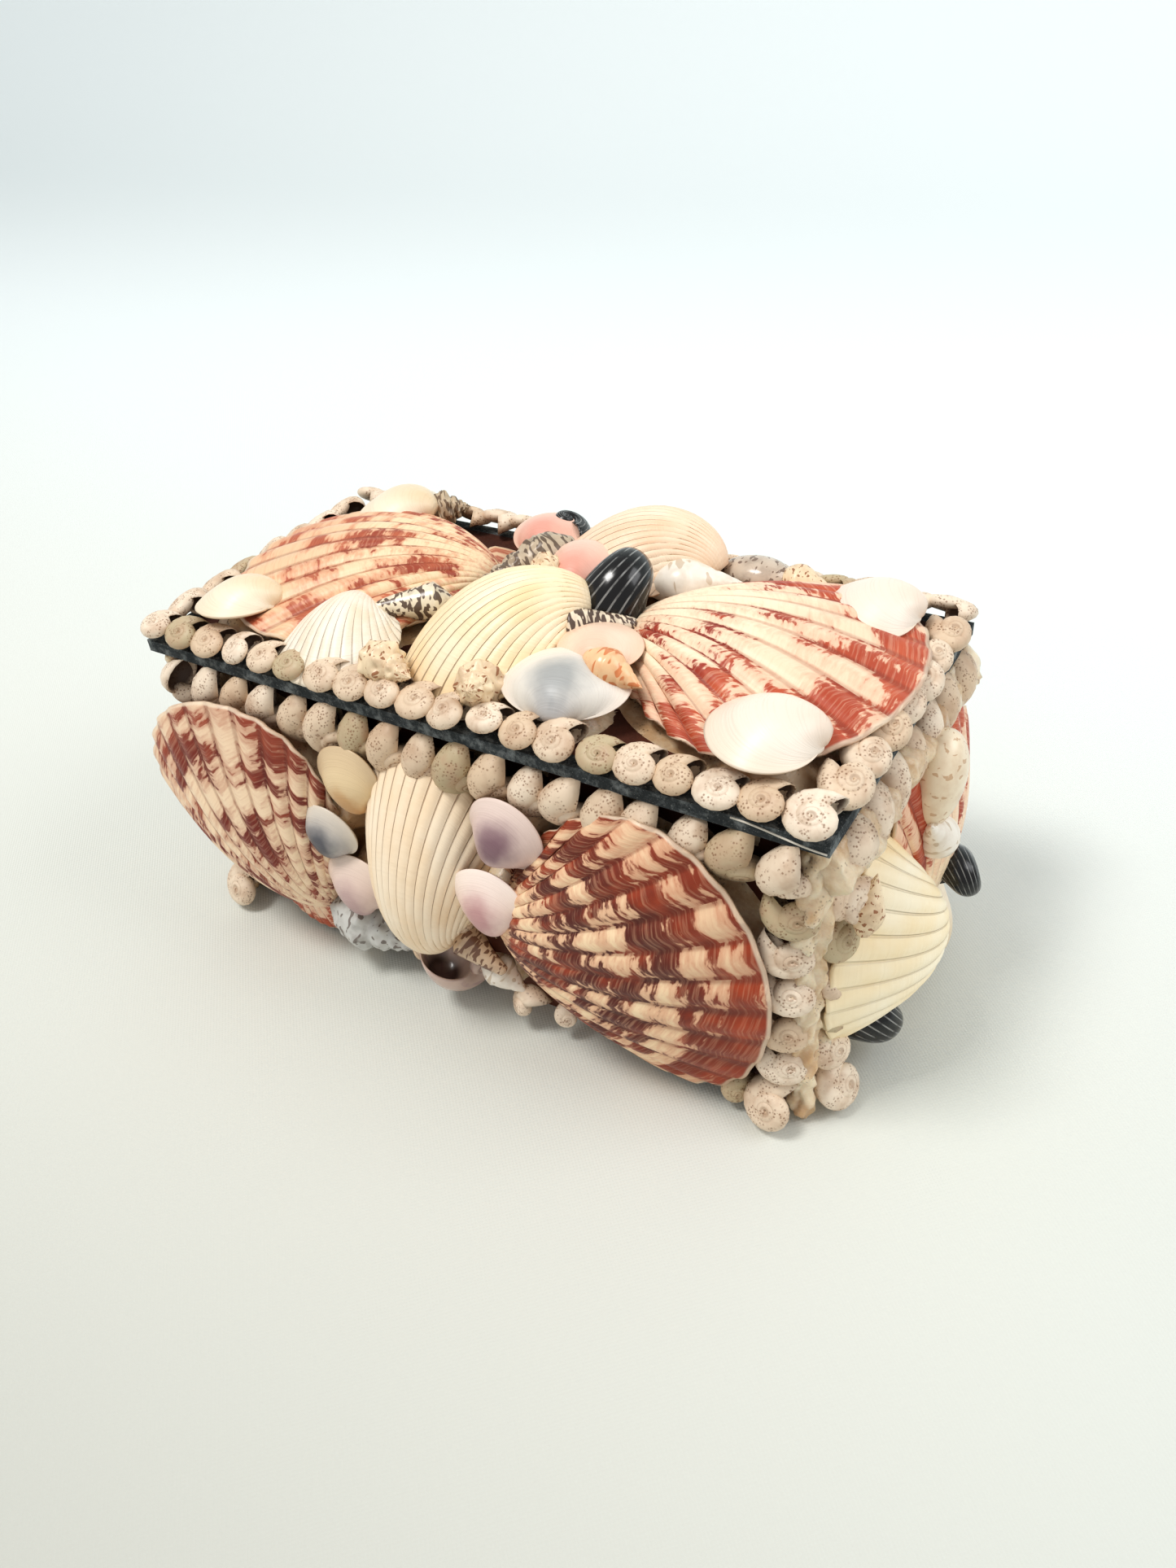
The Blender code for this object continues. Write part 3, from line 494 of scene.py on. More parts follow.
# %% [markdown]
# The margin of a valve is an oval drawn in towards the hinge, and a scallop adds two ears.
# It could be traced by hand for each shell, but one curve with a length, a width and a pinch
# covers them all, and a small seeded wobble keeps two of them from being twins.

# %% Outline of a valve
EAR_X = (0.245, 0.262, 0.258, 0.247, 0.236)
EAR_Y = (0.128, 0.115, 0.07, 0.03, 0.012)
EAR_U = (0.005, 0.012, 0.02, 0.026, 0.032, 0.04)


def outline(length, width, columns, pinch, ears, wobble, seed):
    """Points of the margin from hinge to hinge, and U for each.

    x = width/2 sin(a) (1 - pinch ((1 - cos a)/2)^2), y = length/2 (1 + cos a), with a small
    wobble of three sines. The hinge sees equal steps of a at equal angles. The ears' corners
    are shares of the width and the length.
    """
    reach = math.radians(135 if ears else 163)
    a = np.linspace(-reach, reach, columns)
    phase = np.random.default_rng(seed).uniform(0, 2 * np.pi, 3)
    waves = sum(np.sin(k * a + p) / k for k, p in zip((2, 5, 9), phase))
    size = 1 + wobble * waves
    x = width / 2 * np.sin(a) * (1 - pinch * ((1 - np.cos(a)) / 2) ** 2) * size
    y = length / 2 * (1 + np.cos(a) * size)
    u = np.linspace(0, 1, columns)
    if ears:
        ear_x = np.array([abs(x[-1]) * 1.06, *(share * width for share in EAR_X)])
        ear_y = np.array([y[-1] * 0.9, *(share * length for share in EAR_Y)])
        ear_u = np.array(EAR_U)
        x = np.concatenate([-ear_x[::-1], x, ear_x])
        y = np.concatenate([ear_y[::-1], y, ear_y])
        u = np.concatenate([-ear_u[::-1], u, 1 + ear_u])
    return x, y, u


print("a fan's outline has", len(outline(1, 1, 210, 0.55, True, 0.01, 1)[0]), "points")

# %% [markdown]
# A valve grows by adding to its margin while it turns about its hinge, so every earlier
# margin is the same outline, smaller by exp(-spiral * t) and turned by t. That is truer than
# a squashed ball, because the ribs then fan out and curl in at the beak by themselves. Ribs
# push the surface out along its own normal.

# %% Growing a valve
def unit_normals(grid):
    """The direction out of a grid at each of its points."""
    across = np.gradient(grid, axis=1)
    along = np.gradient(grid, axis=0)
    normal = np.cross(across, along)
    return normal / np.maximum(np.linalg.norm(normal, axis=2, keepdims=True), 1e-12)


def valve(length, width, spiral, last_turn, pinch, ears, ribs, rib, columns, rows,
          wobble=0.01, seed=1, square=2.0, ruffle=0.0):
    """A grid of one valve, its hinge at the origin and its margin along +Y, its UV, its tip.

    Row t of the grid is the outline times exp(-spiral t), turned by t about the X axis. A
    rib is tanh(square cos(2 pi ribs u)) / tanh(square) high, times the size of its row.
    Growth bands are a sine of the size, with a seeded drift. A ruffle of as many waves as
    there are ribs dies away from the margin.
    """
    x, y, u = outline(length, width, columns, pinch, ears, wobble, seed)
    share = np.linspace(0, 1, rows)[:, None]
    turn = math.radians(last_turn) * share ** 1.5
    size = np.exp(-spiral * turn)
    grid = np.stack([x * size, y * size * np.cos(turn), y * size * np.sin(turn)], 2)
    on_disc = ((u >= 0) & (u <= 1)).astype(float)
    wave = -np.cos(2 * np.pi * ribs * u)
    profile = np.tanh(square * wave) / math.tanh(square) * on_disc
    drift = np.cumsum(np.random.default_rng(seed + 50).normal(0, 0.12, rows))[:, None] * 0.3
    bands = np.sin(14 * size + drift * 3) * 0.12 * MM * size * on_disc
    height = rib * length * size * profile * np.clip((y / length * 4), 0, 1) + bands
    margin = np.exp(-((1 - size) / 0.05)) * ruffle * MM * np.sin(2 * np.pi * ribs * u + 1)
    grid = grid - unit_normals(grid) * (height + margin)[:, :, None]
    v = np.broadcast_to(size, grid.shape[:2])
    uv = np.stack([np.broadcast_to(u, v.shape), v], 2)
    tip = np.array([0, length / 2 * size[-1, 0] * math.cos(turn[-1, 0]),
                    length / 2 * size[-1, 0] * math.sin(turn[-1, 0])])
    return grid, uv, tip


SCALLOP = dict(spiral=2.0, last_turn=95, pinch=0.55, ears=True, ribs=SCALLOP_RIBS,
               rib=0.0085, columns=210, rows=31, wall=1.1, square=1.4, wide=1.2, ruffle=0.3)
COCKLE = dict(spiral=0.82, last_turn=140, pinch=0.0, ears=False, ribs=34, rib=0.0045,
              columns=205, rows=25, wall=1.0, square=1.2, wide=1.0, ruffle=0.25)
FLAT_COCKLE = dict(COCKLE, spiral=1.25, last_turn=110, ribs=26, columns=183, rows=22)
CLAM = dict(spiral=1.05, last_turn=110, pinch=0.0, ears=False, ribs=0, rib=0.0,
            columns=61, rows=22, wall=0.9, square=1.0, wide=1.3, ruffle=0.0)
print("four forms of valve:", SCALLOP["ribs"], COCKLE["ribs"], FLAT_COCKLE["ribs"], "ribs")

# %% [markdown]
# On the box every valve is glued down by its hollow side. Laying one takes its node's name,
# its form and finish, its spot, its heading and its length; the form gives the rest, so one
# call can stand in one row of a table. The spot is also noted down, because the glue has to
# rise under every shell.

# %% Laying a valve
MOUND_REACH = 0.42
STUCK = []


def standing_for(name):
    """The node of that name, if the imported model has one."""
    return (name,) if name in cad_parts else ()


def lay_valve(name, form, material, side, spot, heading, length, tilt=0, roll=0, **changes):
    """Make one valve of a length in mm and put it on its spot, in place of its node."""
    form = {**form, **changes}
    wall, shape = form.pop("wall"), length * MM
    width = shape * form.pop("wide")
    grid, uv, tip = valve(shape, width, seed=sum(map(ord, name)) % 1000, **form)
    middle_of_it = np.array([0, shape / 2, 0])
    grid, tip = (laid(side, points - middle_of_it, spot, heading, tilt, roll)
                 for points in (grid, tip[None, :]))
    STUCK.append((side, spot, MOUND_REACH * length))
    return piece(name + "_shell", [woven(grid, uv, last_tip=tip[0])], material,
                 standing_for(name), thickness=wall * MM)


def lay_valves(side, rows):
    """Lay valves given as rows: name, form, material, spot, heading, length, changes."""
    for name, form, material, spot, heading, length, changes in rows:
        lay_valve(name, form, material, side, spot, heading, length, **changes)


# %% [markdown]
# On the lid two big fans lie back to back, their ears to the middle. Cockles fill the gap in
# front and behind, a pale clam holds down each outer corner, and small coloured clams were
# the last to go on, so they lie highest.

# %% Valves on the lid
lay_valves(LID, (
    ("lid_scallop_left", SCALLOP, SCALLOPS["dusty"], (-0.58, 0.02, 4.5), 198, 77,
     dict(tilt=3.5, roll=1)),
    ("lid_scallop_right", SCALLOP, SCALLOPS["coral"], (0.63, 0.03, 5.0), 4, 77,
     dict(tilt=3.5)),
    ("lid_cockle_front", COCKLE, COCKLES["cream"], (-0.01, -0.42, 5.5), 220, 48,
     dict(tilt=-10)),
    ("lid_cockle_back", COCKLE, COCKLES["blush"], (0.10, 0.64, 5.5), 186, 46,
     dict(tilt=-4, roll=6)),
    ("lid_cockle_small", FLAT_COCKLE, COCKLES["white"], (-0.41, -0.70, 4.0), 284, 33,
     dict(tilt=-10)),
    ("lid_clam_front_right", CLAM, CLAMS["white"], (0.78, -0.66, 10), 200, 25,
     dict(tilt=3, wide=1.15)),
    ("lid_clam_back_right", CLAM, CLAMS["white"], (0.80, 0.55, 10), 200, 23, {}),
    ("lid_clam_left", CLAM, CLAMS["cream"], (-0.76, -0.68, 9), 200, 23,
     dict(roll=8, wide=1.1)),
    ("lid_clam_back_left", CLAM, CLAMS["cream"], (-0.71, 0.62, 10), 190, 23, {}),
    ("lid_clam_blue", CLAM, CLAMS["blue"], (0.28, -0.65, 9), 104, 21,
     dict(tilt=20, wide=1.5)),
    ("lid_clam_peach", CLAM, CLAMS["peach"], (0.30, -0.39, 12.5), 106, 16, dict(tilt=14)),
    ("lid_clam_pink", CLAM, CLAMS["pink"], (0.05, 0.25, 13), 100, 19,
     dict(tilt=30, wide=1.0)),
    ("lid_clam_pink_back", CLAM, CLAMS["pink"], (-0.18, 0.67, 10), 100, 17,
     dict(tilt=20, wide=1.2)),
))
print(len(STUCK), "valves on the lid")

# %% [markdown]
# The front has a fan at each end and a tall cockle between them, with clams tucked into the
# gaps. The right wall is a smaller copy of that idea. The back and the left wall aren't seen
# in the photograph, so they carry fewer shells of the same kinds.

# %% Valves on the walls
lay_valves(FRONT, (
    ("front_scallop_left", SCALLOP, SCALLOPS["wine"], (-0.73, 0.08, 9), 120, 74,
     dict(tilt=6, roll=-1, wide=1.1)),
    ("front_scallop_under", SCALLOP, SCALLOPS["coral"], (-0.64, -0.66, 4), 262, 26,
     dict(tilt=6)),
    ("front_scallop_right", SCALLOP, SCALLOPS["maroon"], (0.55, -0.01, 7.5), 6, 78,
     dict(tilt=3, roll=2, wide=1.25)),
    ("front_cockle", COCKLE, COCKLES["pale"], (-0.075, 0.24, 5), 92, 56,
     dict(wide=0.75, ribs=32)),
    ("front_clam_cream", CLAM, CLAMS["honey"], (-0.30, 0.61, 10), 110, 18, dict(wide=1.15)),
    ("front_clam_grey", CLAM, CLAMS["slate"], (-0.41, 0.17, 12), 86, 16,
     dict(tilt=5, wide=1.2)),
    ("front_clam_lilac", CLAM, CLAMS["lilac"], (-0.345, -0.20, 12), 100, 18,
     dict(wide=1.2)),
    ("front_clam_purple_upper", CLAM, CLAMS["purple"], (0.235, 0.61, 11), 60, 19,
     dict(wide=1.1)),
    ("front_clam_purple_lower", CLAM, CLAMS["mauve"], (0.175, 0.16, 15), 100, 18,
     dict(wide=1.2)),
))
lay_valves(RIGHT, (
    ("right_cockle", COCKLE, COCKLES["ivory"], (-0.45, -0.07, 5), 162, 47,
     dict(wide=1.15, ruffle=0.9, ribs=21, rib=0.009)),
    ("right_scallop", SCALLOP, SCALLOPS["coral"], (0.44, 0.22, 6), 70, 57,
     dict(tilt=3, wide=1.15)),
    ("right_clam_pale", CLAM, CLAMS["cream"], (0.42, -0.60, 10), 100, 25, dict(wide=1.1)),
))
lay_valves(LEFT, (
    ("left_scallop", SCALLOP, SCALLOPS["wine"], (0.12, 0.02, 5), 100, 62, dict(tilt=3)),
    ("left_cockle", COCKLE, COCKLES["pale"], (-0.60, -0.50, 4), 60, 26, {}),
))
lay_valves(BACK, (
    ("back_scallop_left", SCALLOP, SCALLOPS["wine"], (-0.58, 0.0, 5), 172, 74,
     dict(tilt=2)),
    ("back_scallop_right", SCALLOP, SCALLOPS["maroon"], (0.58, 0.0, 5), 8, 74,
     dict(tilt=2)),
    ("back_cockle", COCKLE, COCKLES["pale"], (0.01, 0.12, 4.5), 88, 48, dict(wide=0.85)),
))
print(len(STUCK), "valves in all")

# %% [markdown]
# Snail shells are tubes wound round an axis. The tube shrinks by the same share with every
# turn, and so does its distance from the axis, so one formula gives the whole shell. A deep
# fall along the axis makes a globe, a shallow one a disc. The same function, made coarse,
# gives the hundred and fifty little shells of the frames; made fine, the glossy ones.

# %% Coiled tubes
MOUTH_ROWS = ((0.75, 0.45), (0.35, 0.78), (0.02, 0.93))
MOUTH_V = (-0.3, -0.2, -0.05)


def coil(growth, fall, fatness=0.92, turns=2.3, around=14, steps=18, flare=1.0, droop=0.0,
         number=0):
    """A closed coiled tube, its spire towards +Z, its mouth at +X and open towards -Y.

    At angle a back from the mouth r = growth^(-a / 2 pi), the tube is fatness * r thick and
    its middle is at (r cos a, r sin a, -fall r). Near the mouth the tube may flare, and
    droop away from the spire. The mouth is three smaller rings set deeper. U is number +
    share round the tube, V is below 0 in the mouth.
    """
    a = np.linspace(0, 2 * np.pi * turns, int(turns * steps))
    r = growth ** (-a / (2 * np.pi))
    thick = fatness * r * (1 + (flare - 1) * np.exp(-a * 6))
    out = np.stack([np.cos(a), np.sin(a), np.zeros_like(a)], 1)
    down = fall * r + droop * np.exp(-a * 1.6)
    centre = out * r[:, None] - np.array([0, 0, 1.0]) * down[:, None]
    b = np.linspace(0, 2 * np.pi, around, endpoint=False)
    ring = (out[:, None, :] * np.cos(b)[None, :, None]
            + np.array([0, 0, 1.0]) * np.sin(b)[None, :, None])
    grid = centre[:, None, :] + ring * thick[:, None, None]
    back = np.array([0, 1.0, 0]) * thick[0]
    mouth = [centre[0] + back * deep + ring[0] * thick[0] * size for deep, size in MOUTH_ROWS]
    grid = np.concatenate([np.stack(mouth), grid])
    v = np.concatenate([MOUTH_V, np.linspace(0, 1, len(a))])
    u = np.linspace(0, 0.999, around + 1) + number
    uv = np.stack(np.broadcast_arrays(u[None, :], v[:, None]), 2)
    return grid, uv, centre[0] + back * 0.9, centre[-1]


def coiled(diameter, height, spire, mouth_side, **shape):
    """A coil of a given size, turned so that its spire and its mouth point as asked.

    Its middle is the middle of its own box, and stays at the origin.
    """
    grid, uv, first, last = coil(**shape)
    points = np.concatenate([grid.reshape(-1, 3), first[None], last[None]])
    low, high = points.min(0), points.max(0)
    wide = diameter / max(high[0] - low[0], high[1] - low[1])
    points = (points - (low + high) / 2) * np.array([wide, wide, height / (high[2] - low[2])])
    spire = np.array(spire, float) / np.linalg.norm(spire)
    side = np.array(mouth_side, float)
    side = side - spire * (side @ spire)
    side /= np.linalg.norm(side)
    points = points @ np.array([side, np.cross(spire, side), spire])
    return points[:-2].reshape(grid.shape), uv, points[-2], points[-1]


DISC = dict(growth=1.85, fall=1.25, fatness=1.0, flare=1.05, droop=0.45, turns=2.6)
GLOBE = dict(growth=2.1, fall=1.15, fatness=1.0, flare=1.06, droop=0.3, turns=2.5)
print("rings and points round a little snail:", coil(**DISC)[0].shape[:2])

# %% [markdown]
# The frame rows are all one kind of little land snail, bleached to a pinkish beige and
# flecked with brown. One material has to serve them all and still tell them apart: the whole
# part of U is a snail's own number, and white noise on it gives each a tint of its own.

# %% Finish of the little snails
def snail_material():
    """Pinkish beige with a tint of its own for each snail, brown flecks, faint rings and
    painted shade in the mouth.
    """
    m = Recipe("snail_beige", roughness=0.5)
    u, v = m.growth()
    number, round_it = m.math("FLOOR", u), m.math("FRACT", u)
    own = m.add("ShaderNodeTexWhiteNoise", settings={"noise_dimensions": "1D"}, W=number)
    place = m.place()
    base = m.mix(own, linear(242, 226, 206), linear(216, 190, 160))
    base = m.mix(m.step(own, 0.84, 0.86), base, linear(194, 178, 146))
    cloud = m.step(m.noise(place, 160.0, 3.0), 0.4, 0.75)
    base = m.mix(m.times(cloud, 0.7), base, linear(194, 162, 134))
    dots = m.add("ShaderNodeTexVoronoi", Vector=place, Scale=1300.0)
    fleck = m.times(m.step(dots, 0.46, 0.2), m.step(m.noise(place, 300.0, 4.0), 0.44, 0.56))
    colour = m.mix(m.times(fleck, 0.7), base, linear(126, 84, 54))
    rings = m.streaks(round_it, 1.4, v, 60.0, number, 2.0)
    colour = m.mix(m.times(m.step(rings, 0.5, 0.75), 0.16), colour, linear(176, 146, 120))
    seam = m.math("ABSOLUTE", m.math("SUBTRACT", round_it, 0.30))
    line = m.times(m.step(seam, 0.07, 0.02), m.step(v, 0.12, 0.3))
    colour = m.mix(m.times(line, 0.4), colour, linear(150, 112, 84))
    # Painted shade: the mouth, where V is below 0, is darkened to a deep brown.
    inside = m.step(v, 0.0, -0.16)
    colour = m.mix(m.times(inside, 0.92), colour, linear(70, 44, 30))
    return m.finish(colour, m.times_plus(fleck, -0.4, rings), 0.12 * MM, 0.6)


SNAIL = snail_material()
print("snail finish:", len(SNAIL.node_tree.nodes), "nodes")

# %% [markdown]
# A row could be one snail and an Array modifier, but then all would be twins. Here each one
# gets a slightly different size, lean and place from a seeded random generator, so that the
# row looks picked by hand and comes out the same every time.

# %% One snail and a row of snails
SKIN = 0.1 * MM
OFF_THE_CLOTH = 0.4 * MM
SNAIL_COUNT = {"made": 0}


def snail(side, spot, size, spire, mouth_side, shape, narrow=(1, 1, 1)):
    """One little snail on a side. Its size is (diameter, height); all values in metres.

    It may be narrowed across, up and out of the side.
    """
    SNAIL_COUNT["made"] += 1
    grid, uv, first, last = coiled(*size, spire, mouth_side, number=SNAIL_COUNT["made"],
                                   **shape)
    flat = np.concatenate([grid.reshape(-1, 3), first[None], last[None]])
    flat = flat * np.array(narrow) + np.array(spot)
    flat[:, 2] = np.maximum(flat[:, 2], SKIN)
    flat = side.to_world(flat)
    flat[:, 2] = np.maximum(flat[:, 2], OFF_THE_CLOTH)
    return woven(flat[:-2].reshape(grid.shape), uv, wrap=True, first_tip=flat[-2],
                 last_tip=flat[-1])


def snail_row(side, start, end, pitch, size, spire, mouth_side, lift, rng, shape,
              narrow=(1, 1, 1)):
    """Snails along a line of one side. Directions are across, up and out of the side."""
    start, end = np.array(start, float), np.array(end, float)
    count = max(2, round(np.linalg.norm(end - start) / pitch))
    rows = []
    for i in range(count):
        lean = np.array(spire) + rng.normal(0, 0.10, 3)
        grown = np.array(size) * MM * rng.normal(1, 0.05, 2).clip(0.9, 1.1)
        flat = start + (end - start) * (i + 0.5) / count
        spot = np.array([*flat, lift]) + rng.normal(0, 0.3 * MM, 3)
        rows.append(snail(side, spot, grown, lean, mouth_side, shape, narrow))
    return rows


print("snails touch the cloth no lower than", OFF_THE_CLOTH / MM, "mm")

# %% [markdown]
# Along the lid's edges the snails lean on each other like dominoes, spire outwards, about
# twenty in front. The rows overhang the charcoal strip a little, as on the real lid. Each row
# stands for one packed bar, so it is made as one piece and replaces that node alone.

# %% Rows on the lid
def lid_snails():
    """The four rows along the lid's edges."""
    rng = np.random.default_rng(11)
    half_x, half_y = LID.half
    row, end, inner = half_y - 3.2 * MM, half_x - 3.8 * MM, half_y - 10.2 * MM
    for name, up, way in (("front", -row, -1), ("back", row, 1)):
        rows = snail_row(LID, (-half_x, up), (half_x, up), 10.4 * MM, (14.6, 9.4),
                         (-0.15, 0.5 * way, 0.85), (0.5, -0.8 * way, 0.3), 4.0 * MM, rng,
                         DISC, (1, 0.82, 0.8))
        piece("snails_lid_" + name, rows, SNAIL, ["lid_snails_" + name])
    for name, across, way in (("left", -end, -1), ("right", end, 1)):
        rows = snail_row(LID, (across, -inner), (across, inner), 11.6 * MM, (15.8, 9.6),
                         (0.45 * way, -0.35, 0.8), (-0.8 * way, 0.35, 0.3), 4.1 * MM, rng,
                         DISC, (0.85, 1, 0.8))
        piece("snails_lid_" + name, rows, SNAIL, ["lid_snails_" + name])


lid_snails()
print(SNAIL_COUNT["made"], "snails on the lid")

# %% [markdown]
# Each wall is framed on three sides: snails climb one corner, follow the rim below the lid
# and go down the other corner. A bigger one turns each top corner, and one lies at each foot
# with its spiral to the front.

# %% Frames of the walls
def wall_snails():
    """The frames of the walls: up one corner, along the rim and down the other."""
    rng = np.random.default_rng(23)
    sides = (("front", FRONT, 2.6 * MM), ("back", BACK, 2.6 * MM),
             ("right", RIGHT, -0.3 * MM), ("left", LEFT, -0.3 * MM))
    for name, side, past_corner in sides:
        column = side.half[0] + past_corner - 6.5 * MM
        rim, foot = side.half[1] - 7.0 * MM, -side.half[1] + 15.0 * MM
        rows = []
        for across, way in ((-column, -1), (column, 1)):
            rows += snail_row(side, (across, rim - 7 * MM), (across, foot), 12.0 * MM,
                              (15.2, 10), (0.35 * way, 0.3, 0.85), (-0.7 * way, 0.7, 0),
                              4.0 * MM, rng, DISC, (1, 0.84, 0.9))
            rows.append(snail(side, (across, rim, 4.6 * MM), (16.5 * MM, 14 * MM),
                              (0.3 * way, -0.75, 0.55), (0.3, 1.0, 0.3), GLOBE))
            rows.append(snail(side, (across, -side.half[1] + 8.6 * MM, 6.0 * MM),
                              (17 * MM, 11 * MM), (-0.15, 0.4, 0.9), (0.6, 1.0, 0), DISC))
        rows += snail_row(side, (-column + 7 * MM, rim), (column - 7 * MM, rim), 11 * MM,
                          (17.0, 13.6), (0.45, -0.5, 0.75), (0.5, 1.0, 0.3), 4.4 * MM, rng,
                          GLOBE, (1.0, 0.98, 0.95))
        piece("snails_" + name, rows, SNAIL, [name + "_snails"])


wall_snails()
print(SNAIL_COUNT["made"], "snails with the walls")

# %% [markdown]
# Where big shells left a gap, the maker pushed in a single snail. These few follow no rule,
# so they are a table: side, across, up, lift, diameter and height in mm, then the spire.

# %% Odd snails
ODD_SNAILS = (
    (FRONT, -17, -32, 7, 12, 10, (-0.7, -0.2, 0.6)),
    (FRONT, 20, -36, 8, 11, 10, (-0.6, 0.2, 0.8)),
    (FRONT, 31, -37, 6, 9, 7, (0.5, 0.2, 0.8)),
    (FRONT, 2, -13, 11, 7, 6, (0.1, -0.3, 0.9)),
    (FRONT, 82, -39, 5, 10, 8, (0.5, 0.2, 0.8)),
    (FRONT, -38, -40, 5, 9, 7, (-0.5, -0.2, 0.8)),
    (RIGHT, 20, 30, 9, 12, 10, (0.3, 0.5, 0.8)),
    (RIGHT, -35, 24, 8, 12, 8, (-0.6, 0.4, 0.7)),
    (RIGHT, 2, -36, 6, 12, 9, (-0.3, 0.3, 0.9)),
    (RIGHT, 36, 2, 9, 11, 9, (0.5, -0.2, 0.8)),
    (LID, -62, -31, 5, 9, 7, (0.2, -0.4, 0.9)),
    (LID, 24, 36, 6, 10, 8, (0.4, 0.4, 0.8)),
    (LID, -84, 2, 6, 11, 8, (-0.5, 0.2, 0.9)),
)
piece("snails_odd", [
    snail(side, (across * MM, up * MM, lift * MM), (wide * MM, high * MM), spire,
          (1.0, 0.4, 0), GLOBE)
    for side, across, up, lift, wide, high, spire in ODD_SNAILS], SNAIL)
print(SNAIL_COUNT["made"], "little snails in all")

# %% [markdown]
# Whelks, cones and the auger are long. A lathe would turn them too plain: each has whorls
# that climb as a helix and get taller away from the tip by a constant ratio. The radius at a
# height is an envelope times a bulge that depends on the share of a whorl passed, and that
# share also moves with the angle, which is what makes the seam climb.

# %% Pointed shells
MOUTH_ANGLE = 5.2


def spindle(length, width, envelope, ratio, bulge, knobs=0, knob=0.0, rings=0.0, mouth=0.5,
            columns=66, rows=56):
    """A pointed shell along Y, its tip at +Y: grid, UV, and its two ends.

    At the share s from the foot, whorls passed w = log(1.02 - s) / log(ratio) + angle/2 pi,
    and radius = envelope(s) (1 - bulge |2 frac(w) - 1|^3 + knob cos(knobs angle) near the
    shoulder). The mouth is a dent on the underside, from the foot up.
    """
    share = (1 - np.linspace(0.015, 1, rows) ** 1.25)[::-1, None]
    angle = np.linspace(0, 2 * np.pi, columns, endpoint=False)[None, :]
    whorls = np.log(1.02 - share) / math.log(ratio) + angle / (2 * np.pi)
    part = whorls - np.floor(whorls)
    shape = 1 - bulge * np.abs(2 * part - 1) ** 3 * np.clip(share * 3 - 0.6, 0, 1)
    shoulder = np.exp(-((part - 0.62) / 0.16) ** 2)
    shape = shape + knob * shoulder * np.cos(knobs * angle) * np.clip(share * 5, 0, 1)
    shape = shape + rings * np.cos(2 * np.pi * part * 6)
    dent = np.exp(-((angle - MOUTH_ANGLE) / 0.42) ** 2) * np.exp(-((share - 0.25) / 0.2) ** 4)
    radius = width / 2 * envelope(share) * shape * (1 - mouth * dent)
    y = np.broadcast_to((share - 0.5) * length, radius.shape)
    grid = np.stack([radius * np.cos(angle), y, radius * np.sin(angle)], 2)
    u = np.linspace(0, 1, columns + 1)[None, :]
    uv = np.stack(np.broadcast_arrays(u, share), 2)
    return grid, uv, np.array([[0, -length / 2 - 0.5 * MM, 0], [0, length / 2, 0]])


def whelk_envelope(share):
    """A spindle: full at 0.42 of the length, a straight spire, a tapering foot."""
    spire = np.clip((1 - share) / 0.58, 0, 1) ** 0.9
    foot = 0.30 + 0.70 * np.sin(np.clip(share / 0.42, 0, 1) * np.pi / 2) ** 0.9
    return spire * np.where(share < 0.42, foot, 1)


def auger_envelope(share):
    """A long straight spire with a short foot."""
    return np.clip((1 - share) / 0.74, 0, 1) ** 0.95 * (
        0.45 + 0.55 * np.sin(np.clip(share / 0.26, 0, 1) * np.pi / 2))


def cone_envelope(share):
    """A low spire on a wide shoulder at 0.78, then a nearly straight taper."""
    spire = np.clip((1 - share) / 0.22, 0, 1) ** 0.8
    body = 0.28 + 0.72 * (share / 0.78) ** 0.85
    return np.where(share > 0.78, spire, body)


heights = np.linspace(0, 1, 101)
for envelope in (whelk_envelope, auger_envelope, cone_envelope):
    print(envelope.__name__, "is widest at", heights[envelope(heights).argmax()])

# %% [markdown]
# Most of these shells are pale with rows of dark blotches. Noise stretched by two counts,
# one round the shell and one along it, gives checks, dashes or a zigzag; leaning the rows
# with V turns checks into a zigzag.

# %% Blotched finish
def spotted(name, ground, spot, grid_u, grid_v, cover, roughness=0.28, lean=0.0):
    """A pale shell with rows of dark blotches that follow the whorls."""
    m = Recipe(name, roughness=roughness, Coat_Weight=0.2, Coat_Roughness=0.2)
    u, v = m.growth()
    across = m.times(m.times_plus(v, lean, u), grid_u)
    cells = m.noise(m.point(across, m.times(v, grid_v)), 1.0, 1.0, distortion=0.4)
    patch = m.step(cells, 0.52 - cover, 0.56 - cover)
    cloud = m.noise(m.place(), 220.0, 3.0)
    base = m.mix(m.times(m.step(cloud, 0.4, 0.7), 0.35), ground, spot)
    colour = m.mix(m.times(patch, 0.9), base, spot)
    return m.finish(colour, cloud, 0.15 * MM, 0.5)


POINTED = {
    "auger": spotted("auger_brown", linear(196, 178, 154), linear(92, 72, 56), 9, 26, 0.02,
                     0.45),
    "checked": spotted("cone_checked", linear(236, 224, 200), linear(70, 42, 28), 9, 14,
                       0.02),
    "zigzag": spotted("cone_zigzag", linear(240, 224, 200), linear(58, 28, 22), 9, 18, 0.05,
                      lean=1.2),
    "orange": spotted("cone_orange", linear(240, 200, 156), linear(212, 126, 74), 5, 9,
                      -0.02),
    "brown": spotted("cone_brown", linear(214, 188, 160), linear(112, 74, 56), 5, 12, 0.02),
    "cream": spotted("whelk_cream", linear(240, 218, 184), linear(150, 92, 52), 18, 14,
                     -0.08, 0.45),
    "white": spotted("whelk_white", linear(242, 234, 222), linear(206, 188, 166), 6, 9,
                     -0.06, 0.35),
    "grey": spotted("whelk_grey", linear(204, 204, 200), linear(120, 110, 104), 14, 16,
                    -0.07, 0.45),
    "rough": spotted("whelk_rough", linear(198, 178, 150), linear(104, 80, 58), 8, 12, 0.02,
                     0.5),
}
print(len(POINTED), "blotched finishes")

